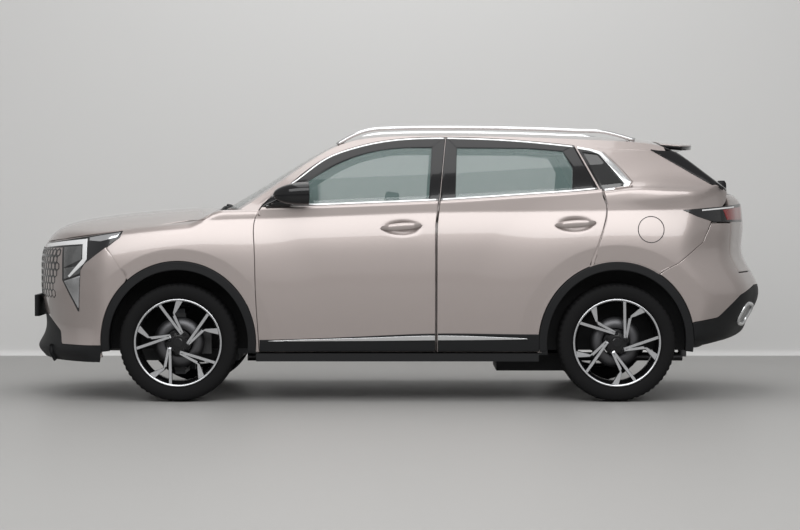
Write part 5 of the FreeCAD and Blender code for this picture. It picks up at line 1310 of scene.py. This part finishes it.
PIVOT_HIGH, SEAT_LOW, SEAT_HIGH, BACK_LOW = 0.50, 0.33, 0.565, 0.46
FRONT_PIVOT, FRONT_LEAN, REAR_PIVOT, REAR_LEAN = -0.17, 0.14, 0.78, 0.10
seat_shapes = []
for y in (-0.37, 0.37):
    seat_shapes += [
        seat_block(y, 0.25, -0.625, -0.12, SEAT_LOW, SEAT_HIGH),
        seat_block(y, 0.245, -0.20, -0.08, BACK_LOW, 1.09, FRONT_PIVOT, FRONT_LEAN),
        seat_block(y, 0.13, -0.185, -0.095, 1.12, 1.29, FRONT_PIVOT, FRONT_LEAN)]
seat_shapes.append(seat_block(0, 0.62, 0.30, 0.80, SEAT_LOW, SEAT_HIGH))
seat_shapes.append(seat_block(0, 0.615, 0.735, 0.85, BACK_LOW, 1.10, REAR_PIVOT, REAR_LEAN))
for y in (-0.42, 0.42):
    seat_shapes.append(seat_block(y, 0.12, 0.75, 0.83, 1.11, 1.23, REAR_PIVOT, REAR_LEAN))
seats = mesh_piece("seat_padding", *joined(seat_shapes), [cloth])
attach(seats, "body")
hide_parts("seats")

# Dashboard, steering wheel and inner trim
DASH_HALF, DASH_X, DASH_Z = 0.70, -0.75, 0.97
dash_section = [(-0.97, 0.88), (-0.97, 1.075), (-0.86, 1.085), (-0.70, 1.075), (-0.60, 1.05),
                (-0.545, 1.01), (-0.535, 0.96), (-0.55, 0.92), (-0.60, 0.87), (-0.70, 0.855)]
dash_line = rounded(np.array(dash_section + dash_section[:1]), 61)[:-1]
dash_y = np.linspace(-DASH_HALF, DASH_HALF, 30)[:, None]
shrink = 1 - 0.10 * (np.abs(dash_y) / DASH_HALF) ** 8
dash = np.stack(np.broadcast_arrays(dash_line[None, :, 0] * shrink + (1 - shrink) * DASH_X, dash_y,
                                    dash_line[None, :, 1] * shrink + (1 - shrink) * DASH_Z), -1)
dash_faces = grid_faces(30, 60, wrap=True).tolist()
dash_faces += [list(range(60)), list(range(29 * 60, 30 * 60))[::-1]]
fitted("dash_skin", "body", (dash.reshape(-1, 3), dash_faces), trim_dark,
       ["dashboard"])
angle = np.linspace(0, ROUND, 73)
ring_path = np.stack([np.cos(angle) * 0.180, np.sin(angle) * 0.180, 0 * angle], 1)
small = np.linspace(0, ROUND, 15)[:-1]
ring = sweep_shape(ring_path, np.stack([np.cos(small) * 0.014, np.sin(small) * 0.014], 1),
                   up=(0, 0, 1), closed=True)
pad = cushion((-0.055, -0.085, -0.035), (0.065, 0.085, 0.010), power=0.5, rows=16, cols=24)
arm = cushion((-0.02, -0.172, -0.012), (0.025, 0.172, 0.004), power=0.4, rows=12, cols=20)
lower_arm = cushion((0.03, -0.016, -0.012), (0.172, 0.016, 0.004), power=0.4, rows=12, cols=20)
column = cushion((-0.024, -0.024, -0.188), (0.024, 0.024, -0.02), power=0.5, rows=12, cols=20)
wheel_middle, wheel_lean = np.array([-0.395, -0.370, 0.985]), math.radians(65)
vertices, faces = leaned(joined([ring, pad, arm, lower_arm, column]), np.zeros(3), wheel_lean)
fitted("steering_ring", "steering_wheel", (vertices + wheel_middle, faces), trim_dark,
       ["steering_wheel"])

# Plate holder, and the black strip with the wipers under the windscreen
PLATE_X, PLATE_HALF = -2.306, 0.234
plate_y = np.linspace(-PLATE_HALF, PLATE_HALF, 30)[None]
plate_z = np.linspace(0.490, 0.626, 14)[:, None]
holder = np.stack(np.broadcast_arrays(PLATE_X, plate_y, plate_z), -1)
panels("plate_frame", "body", black_plastic, [holder], ["plate_holder"], sides=ACROSS, gap=0.0,
       edge=0.004, depth=0.030, slot="black_plastic")
cowl_y = np.linspace(-0.70, 0.70, 60)[None]
cowl_x = along(np.linspace(-0.4815, -0.4705, 8)[:, None])
cowl_z = top_height(cowl_x, cowl_y) - 0.002
cowl = np.stack(np.broadcast_arrays(cowl_x, cowl_y, cowl_z), -1)
panels("cowl_strip", "body", black_plastic, [cowl], ["cowl_panel"], sides=ACROSS, gap=0.0,
       edge=0.003, depth=0.02, slot="black_plastic")
WIPER_X, WIPER_HIGH, WIPER_CROWN = -1.100, 1.186, 0.11
blades = []
for start, end in ((-0.62, -0.05), (0.0, 0.52)):
    t = np.linspace(0, 1, 30)
    y = start + (end - start) * t
    z = WIPER_HIGH - WIPER_CROWN * y ** 2 + 0.004 * t
    path = np.stack([WIPER_X + 0.035 * t, y, z], 1)
    blades.append(sweep_shape(path, tapered(0.006, 0.004, -0.006, 0.006)))
    t = np.linspace(0, 1, 20)
    y = start + 0.02 + (end - start) * 0.5 * t
    z = WIPER_HIGH + 0.010 - WIPER_CROWN * y ** 2
    path = np.stack([WIPER_X + 0.005 + 0.010 * t, y, z], 1)
    blades.append(sweep_shape(path, tapered(0.008, 0.006, -0.004, 0.005)))
fitted("wipers", "body", joined(blades), black_plastic)

# Finishes of the pieces that stay as they are
FINISH = {"body_sides": paint, "front_subframe": under_steel, "rear_axle": under_steel,
          "floor_pan": under_steel, "sill_trims": black_plastic,
          "wheel_arch_liners": black_plastic, "engine_block": cast, "fuel_tank": black_plastic,
          "exhaust": disc_steel, "knuckle_left": cast, "knuckle_right": cast}
for obj in bpy.data.objects:
    if obj.type == "MESH":
        for name, material in FINISH.items():
            if obj.name.startswith(name):
                for slot in range(len(obj.data.materials)):
                    obj.data.materials[slot] = material
                if not len(obj.data.materials):
                    obj.data.materials.append(material)

low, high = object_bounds()

# The studio: a wide pale floor, a curved wall behind, soft light from above
floor_material = finish("studio_floor", (0.35, 0.347, 0.34), 0.45, tint=0.01, scale=3, bump=0.0,
                        shine=0.3)
wall_material = bpy.data.materials.new("studio_wall")
wall_material.use_nodes = True
tree = wall_material.node_tree
shader = tree.nodes["Principled BSDF"]
shader.inputs["Base Color"].default_value = (0.66, 0.66, 0.655, 1)
shader.inputs["Roughness"].default_value = 0.9
geometry = tree.nodes.new("ShaderNodeNewGeometry")
clear = tree.nodes.new("ShaderNodeBsdfTransparent")
mixer = tree.nodes.new("ShaderNodeMixShader")
tree.links.new(geometry.outputs["Backfacing"], mixer.inputs[0])
tree.links.new(shader.outputs[0], mixer.inputs[1])
tree.links.new(clear.outputs[0], mixer.inputs[2])
tree.links.new(mixer.outputs[0], tree.nodes["Material Output"].inputs[0])
GROUND, WALL_AT, WALL_HIGH, WALL_HALF, WALL_ROUND = 40, 3.4, 9.0, 25, 0.05
ground = mesh_piece("studio_ground", [(GROUND * x, GROUND * y, 0) for x, y in
                                      ((-1, -1), (1, -1), (1, 1), (-1, 1))],
                    [[0, 1, 2, 3]], [floor_material])
turn = np.linspace(0, math.pi / 2, 16)
wall_foot = np.stack([WALL_AT - WALL_ROUND * (1 - np.sin(turn)), WALL_ROUND * (1 - np.cos(turn))], 1)
wall_line = np.concatenate([wall_foot, [[WALL_AT, WALL_HIGH]]])
wall = np.stack(np.broadcast_arrays(np.linspace(-WALL_HALF, WALL_HALF, 5)[:, None],
                                    wall_line[None, :, 0], wall_line[None, :, 1] + 0.001), -1)
backdrop = mesh_piece("studio_backdrop", wall.reshape(-1, 3), grid_faces(5, 17)[:, ::-1],
                      [wall_material])

world = bpy.data.worlds.new("studio_world")
bpy.context.scene.world = world
world.use_nodes = True
world.node_tree.nodes["Background"].inputs[0].default_value = (1.0, 0.99, 0.98, 1)
world.node_tree.nodes["Background"].inputs[1].default_value = 0.50


def soft_light(name, place, aim, wide, long, power):
    """A wide area lamp at one place, turned to face another."""
    data = bpy.data.lights.new(name, "AREA")
    data.shape = "RECTANGLE"
    data.size, data.size_y, data.energy = wide, long, power
    light = bpy.data.objects.new(name, data)
    light.location = place
    direction = np.array(aim, float) - np.array(place, float)
    flat = math.hypot(direction[0], direction[1])
    light.rotation_euler = (math.atan2(flat, -direction[2]), 0,
                            math.atan2(direction[1], direction[0]) - math.pi / 2)
    bpy.context.scene.collection.objects.link(light)


soft_light("ceiling", (0, 0.8, 6.0), (0, 0.8, 0), 10, 4.0, 250)
soft_light("side_bank", (0, -8.5, 5.4), (0, 0, 0.8), 12, 4.6, 560)

# The camera stands far off at the car's side and looks slightly down
CAMERA_AT, CAMERA_DOWN, LENS, SENSOR = (0.0155, -15.4, 1.24), 1.606, 107.5, 36
data = bpy.data.cameras.new("camera")
data.lens = LENS
data.sensor_width = SENSOR
camera = bpy.data.objects.new("camera", data)
camera.location = CAMERA_AT
camera.rotation_euler = (math.radians(90 - CAMERA_DOWN), 0, 0)
bpy.context.scene.collection.objects.link(camera)
bpy.context.scene.camera = camera
bpy.context.scene.view_settings.view_transform = "Standard"
